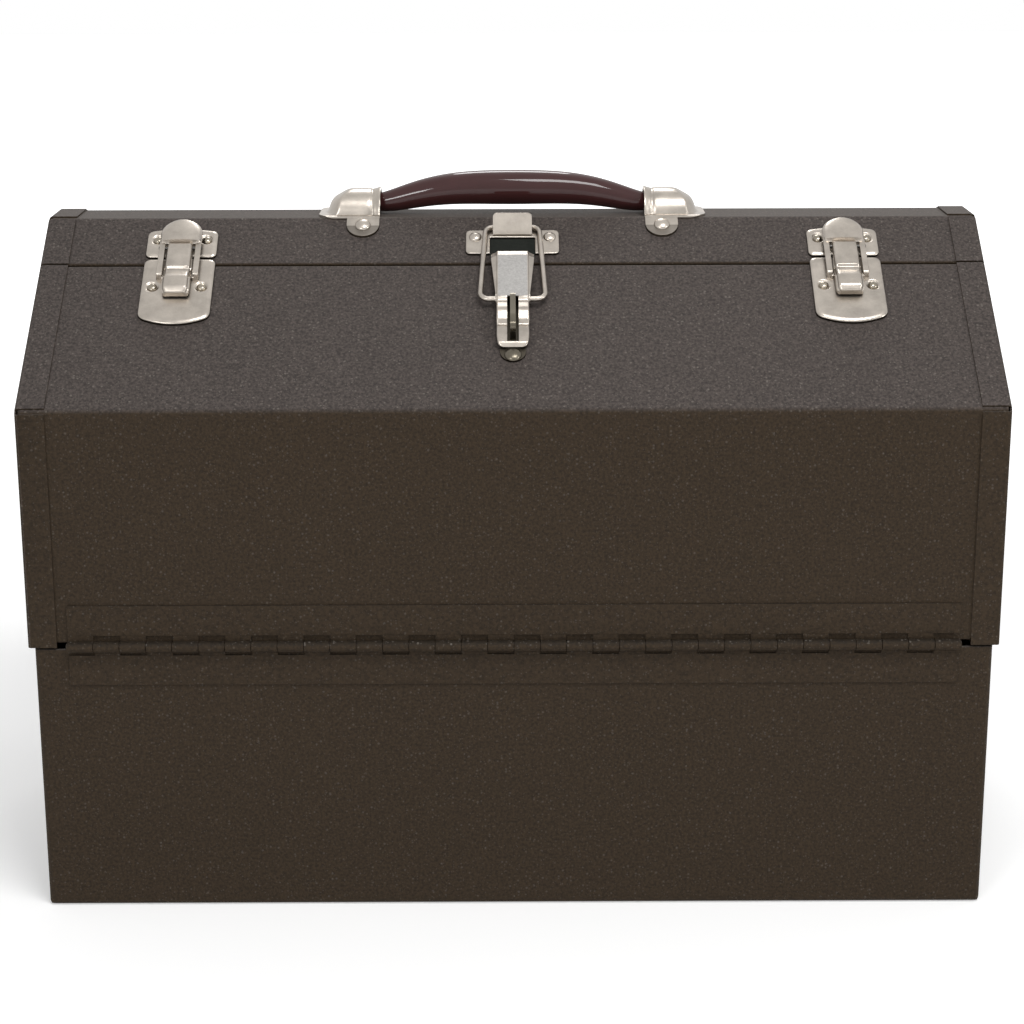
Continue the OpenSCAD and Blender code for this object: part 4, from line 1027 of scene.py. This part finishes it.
# %% [markdown]
# ## Rivets
# The CAD rivets say where each head sits. Their islands are turned into single points, and the tree
# puts a dome on every point: a sphere whose lower half is pressed flat, turned with the slope that
# it stands on.

# %% Domed rivets
CAD_HEAD = 1.7


def rivet_points(node, head):
    """Where the heads of a CAD rivet node sit, found island by island."""
    mesh = bmesh.new()
    mesh.from_mesh(frame["nodes"][node].data)
    bmesh.ops.remove_doubles(mesh, verts=mesh.verts, dist=WELD * MM)
    left = set(mesh.verts)
    points = []
    while left:
        island, queue = set(), [left.pop()]
        while queue:
            vert = queue.pop()
            island.add(vert)
            for edge in vert.link_edges:
                other = edge.other_vert(vert)
                if other in left:
                    left.discard(other)
                    queue.append(other)
        front = 1 if sum(vert.co.y for vert in island) < 0 else -1
        out, up = (Vector((0, front * way.y, way.z)) for way in (slope_out, slope_up))
        along = [vert.co.dot(up) for vert in island]
        top = max(vert.co.dot(out) for vert in island) - head * MM
        x = middle([vert.co.x for vert in island])
        points.append(Vector((x, 0, 0)) + up * middle(along) + out * top)
    mesh.free()
    return points


def rivet_domes(g, given):
    """A dome on every point, turned with the slope that it stands on."""
    ball = g.add("GeometryNodeMeshUVSphere", {"Segments": 24, "Rings": 14, "Radius": 1.0})
    x, y, z = g.parts(g.add("GeometryNodeInputPosition"))
    flattened = g.vector(
        x * given["Width"] * 0.5, y * given["Width"] * 0.5,
        z.math("MAXIMUM", z, 0.0) * given["Height"])
    dome = g.add("GeometryNodeSetPosition", {"Geometry": ball, "Position": flattened})
    behind = g.parts(g.add("GeometryNodeInputPosition"))[1] > 0.0
    turn = g.vector(given["Slope"] * (1 - behind * 2))
    return g.add("GeometryNodeInstanceOnPoints", {
        "Points": given["Geometry"], "Instance": dome, "Rotation": turn})


def rivets(name, node, width, height, cad_head=CAD_HEAD, finish=None):
    """Domed heads in place of the CAD ones, whose height is cad_head."""
    points = rivet_points(node, cad_head)
    sizes = {"Width": width * MM, "Height": height * MM, "Slope": pitch}
    coat = finish or finish_of[slot_of[node]]
    heads = grow(from_points(name, points), rivet_domes, sizes, coat)
    fit_to_frame(heads, node, finish=finish)
    print(name, len(points), "heads")


# the plates' rivets get the darker nickel: painted shade
rivets("base_rivet_heads", "latch_base_rivets", 4.9, 1.45, CAD_HEAD, shaded_rivet_nickel)
rivets("strike_rivet_heads", "strike_rivets", 4.9, 1.45, CAD_HEAD, shaded_rivet_nickel)
rivets("keeper_rivet_heads", "keeper_rivets", 6.4, 1.7)
# the draw latch's rivet gets the darker nickel: painted shade
rivets("draw_rivet_head", "draw_latch_rivet", 8.4, 1.9, CAD_HEAD + 0.2, shaded_nickel)
rivets("handle_rivet_heads", "handle_rivets", 8.0, 1.9, CAD_HEAD + 0.2)

# %% [markdown]
# ## Bail
# The bail is one piece of wire. Its path has two ends and four corners, Fillet Curve rounds the
# corners, and Curve to Mesh carries a circle along it.

# %% The wire bail
BAIL_D, BAIL_BEND = 2.7, 4.2
bail_side = [(5.8, BAIL_U, BAIL_N), (16.0, BAIL_U, BAIL_N), (13.3, 23.3, 2.95)]
bail_path = [on_slope(*point) for point in bail_side]
bail_path += [on_slope(-x, u, n) for x, u, n in reversed(bail_side)]


def swept(g, path, sides, radius, scale=1.0):
    """A circle carried along the path, with closed ends."""
    ring = g.add("GeometryNodeCurvePrimitiveCircle", {"Resolution": sides, "Radius": radius})
    return g.add("GeometryNodeCurveToMesh", {
        "Curve": path, "Profile Curve": ring, "Scale": scale, "Fill Caps": True})


def bent_wire(g, given):
    path = g.add("GeometryNodeMeshToCurve", {"Mesh": given["Geometry"]})
    bent = g.add("GeometryNodeFilletCurve", {
        "Curve": path, "Radius": given["Bend radius"], "Count": 7}, {"mode": "POLY"})
    return swept(g, bent, 16, given["Wire"] * 0.5)


bail_line = from_points("bail_wire", bail_path, [(i, i + 1) for i in range(len(bail_path) - 1)])
bail_sizes = {"Bend radius": BAIL_BEND * MM, "Wire": BAIL_D * MM}
fit_to_frame(grow(bail_line, bent_wire, bail_sizes, nickel), "bail")

# %% [markdown]
# ## Piano hinges
# Each leaf is a strip whose edge is cut into tongues and rolled round the pin, so every other
# knuckle of the row belongs to it. One knuckle with its tongue is modelled and repeated.

# %% Hinge leaves
upper_low, upper_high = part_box("front_hinge_upper_leaf")
axis = pivot["front_lid_hinge"]
LEAF_T = 0.9
barrel_r = (upper_high.y - upper_low.y) / MM / 2
half_hinge = (upper_high.x - upper_low.x) / MM / 2


def knuckle_row(g, given):
    line = g.add("GeometryNodeMeshLine", {
        "Count": given["Count"], "Start Location": given["First"], "Offset": given["Step"]})
    return g.add("GeometryNodeInstanceOnPoints", {"Points": line, "Instance": given["Geometry"]})


def leaf_ends(node):
    """Left and right end of each knuckle of a CAD leaf, read at the height of the axis."""
    verts = frame["nodes"][node].data.vertices
    ends = sorted({round(v.co.x / MM, 2) for v in verts if abs(v.co.z - axis.z) < 0.3 * MM})
    return ends[:1] + [end for last, end in zip(ends, ends[1:]) if end - last > 1]


def hinge_leaf(name, node, up, front):
    """Rolled leaf that goes up (1) or down (-1) from its barrel, in front (1) or behind (-1)."""
    ends = leaf_ends(node)
    starts = ends[0::2]
    length, step = ends[1] - ends[0], ends[2] - ends[0]
    leaf_h = (upper_high.z - axis.z) / MM
    cut = barrel_r + 2.2

    def place(x, y, z):
        return Vector((x * MM, front * (axis.y + y * MM), axis.z + up * z * MM))

    back = barrel_r - LEAF_T
    tongue = [(barrel_r, 0.0, 0), (barrel_r, cut + 0.5, 0), (back, cut + 0.5, 0), (back, 1.0, 0)]
    turns = [math.tau * k / 24 for k in range(24)]
    tube = [(barrel_r * math.cos(turn), barrel_r * math.sin(turn), 0) for turn in turns]
    rolled = [extruded("rolled", shape, 0, length, place, 0.22) for shape in (tube, tongue)]
    row = grow(join(f"{name}_knuckle", rolled), knuckle_row, {
        "Count": len(starts), "First": (starts[0] * MM, 0.0, 0.0),
        "Step": (step * MM, 0.0, 0.0)}, hinge_paint_shaded_on_top)
    strip = extruded(
        f"{name}_strip", oblong(back, cut, barrel_r, leaf_h), -half_hinge, half_hinge, place, 0.2)
    fit_to_frame(join(name, [row, strip]), node, finish=hinge_paint_shaded_on_top)
    print(name, len(starts), "knuckles of", round(length, 2), "mm")


for wall, front in (("front", 1), ("rear", -1)):
    for leaf, up in (("upper", 1), ("lower", -1)):
        hinge_leaf(f"{wall}_{leaf}_leaf_rolled", f"{wall}_hinge_{leaf}_leaf", up, front)

# %% [markdown]
# ## Grip
# The grip is a rule made solid: a bar that swells from its necks to its middle while it rises in a
# shallow arch. The tree resamples a straight line, lifts its points by one formula and carries a
# circle along it, whose size follows another. The sizes are read from the CAD grip.

# %% The grip
grip_verts = [vert.co for vert in frame["nodes"]["handle_grip"].data.vertices]
grip_half = max(vert.x for vert in grip_verts)
end_z = [vert.z for vert in grip_verts if vert.x > grip_half - 0.1 * MM]
mid_z = [vert.z for vert in grip_verts if abs(vert.x) < 0.1 * MM]
print("grip", round(2 * grip_half / MM, 1), "mm long,", round(span(mid_z) / MM, 1), "mm thick")


def swelling_bar(g, given):
    line = g.add("GeometryNodeCurvePrimitiveLine", {
        "Start": g.vector(given["Half length"] * -1.0), "End": g.vector(given["Half length"])})
    fine = g.add("GeometryNodeResampleCurve", {"Curve": line, "Count": 97})
    x = g.parts(g.add("GeometryNodeInputPosition"))[0]
    part = x.math("MINIMUM", x.math("ABSOLUTE", x) / given["Neck place"], 1.0)
    lift = (1 - part ** 3.6) ** 1.8
    swell = (1 - part ** 2.0) ** 0.9
    height = given["Neck height"] + (given["Middle height"] - given["Neck height"]) * lift
    radius = (given["Neck"] + (given["Middle"] - given["Neck"]) * swell) * 0.5
    lifted = {"Geometry": fine, "Position": g.vector(x, 0.0, height)}
    arch = g.add("GeometryNodeSetPosition", lifted)
    return swept(g, arch, 40, 1.0, radius)


grip_piece = grow(link("swelling_grip", bpy.data.meshes.new("swelling_grip")), swelling_bar, {
    "Half length": grip_half, "Neck place": bracket_in * MM, "Neck": span(end_z),
    "Middle": span(mid_z), "Neck height": middle(end_z), "Middle height": middle(mid_z)},
    grip_vinyl)
fit_to_frame(grip_piece, "handle_grip")

# %% [markdown]
# ## The sheet parts, trays, arms and pins
# Every node that has no own piece by now keeps its CAD shape with softened edges.

# %% Soften the rest
shaped = {node for piece in bpy.context.scene.objects for node in piece.get("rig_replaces", [])}
unshaped = sorted(set(body_of) - shaped)
for node in unshaped:
    soften(node)
print(len(unshaped), "softened pieces")

# %% [markdown]
# ## Camera, light and floor
# The camera stands where the photograph was taken from, a little above the box, with a long lens.
# Broad lights above and in front show the coat's grain, and the backdrop is white.

# %% Camera
CAMERA_PLACE = (-0.003, -1.181, 0.497)
CAMERA_TURN = (0.12, 15.6, -0.16)
LENS, SENSOR = 81.56, 36
yaw, down, roll = (math.radians(angle) for angle in CAMERA_TURN)
turned = Matrix.Rotation(-yaw, 4, "Z") @ Matrix.Rotation(math.pi / 2 - down, 4, "X")
camera = link("camera", bpy.data.cameras.new("camera"))
camera.matrix_world = Matrix.Translation(CAMERA_PLACE) @ turned @ Matrix.Rotation(roll, 4, "Z")
camera.data.lens = LENS
camera.data.sensor_width = SENSOR
camera.data.clip_start = 0.01
bpy.context.scene.camera = camera

# %% Lights, backdrop and floor
LIGHTS = (
    ("top_light", (0.3, -0.8, 1.5), (0.6, 0.4), 11),
    ("front_light", (-0.8, -1.9, 1.1), (0.4, 0.4), 9),
    ("back_light", (0.0, 1.2, 1.6), (0.5, 0.4), 7),
    ("side_light", (1.5, -1.0, 1.0), (0.3, 0.45), 6))
ROOM_LIGHT, FLOOR_GLOW, FLOOR_HALF = 0.42, 0.3, 6
box_middle = Vector((0, 0, 0.2))
for title, spot, size, power in LIGHTS:
    lamp = link(title, bpy.data.lights.new(title, "AREA"))
    lamp.data.shape = "RECTANGLE"
    lamp.data.size, lamp.data.size_y = size
    lamp.data.energy = power
    lamp.location = spot
    lamp.rotation_euler = (box_middle - lamp.location).to_track_quat("-Z", "Y").to_euler()


def shows_backdrop(r):
    """1 for rays that see the white backdrop, 0 for those that only carry light."""
    kinds = ("Is Camera Ray", "Is Glossy Ray", "Is Transmission Ray")
    first, second, third = (r.add("ShaderNodeLightPath", output=kind) for kind in kinds)
    return (first + second + third).clamped()


world = bpy.data.worlds.new("white_room")
bpy.context.scene.world = world
world.use_nodes = True
world.node_tree.nodes.clear()
w = Recipe(world.node_tree)
white = {"Color": (1, 1, 1, 1), "Strength": ROOM_LIGHT + shows_backdrop(w) * (1 - ROOM_LIGHT)}
backdrop = w.add("ShaderNodeBackground", white)
w.add("ShaderNodeOutputWorld", {"Surface": backdrop})


def pale_floor(r):
    """Pale floor that brightens to the backdrop's white away from the box."""
    far = r.add("ShaderNodeVectorMath", {0: r.place()}, {"operation": "LENGTH"}, 1)
    glow = FLOOR_GLOW + ((far - 0.45) * 0.7).clamped() * (1 - FLOOR_GLOW)
    seen = r.mix(glow * shows_backdrop(r), rgba((0, 0, 0)), rgba((1, 1, 1)))
    return {"Base Color": rgba((0.86, 0.86, 0.86)), "Roughness": 0.8, "Specular IOR Level": 0.1,
            "Emission Color": seen, "Emission Strength": 1.0}


floor_corners = [
    (x * FLOOR_HALF, y * FLOOR_HALF, 0) for x, y in ((-1, -1), (1, -1), (1, 1), (-1, 1))]
floor = from_points("floor", floor_corners, faces=[(0, 1, 2, 3)])
floor.data.materials.append(new_material("pale_floor", pale_floor))
bpy.context.scene.view_settings.view_transform = "Standard"
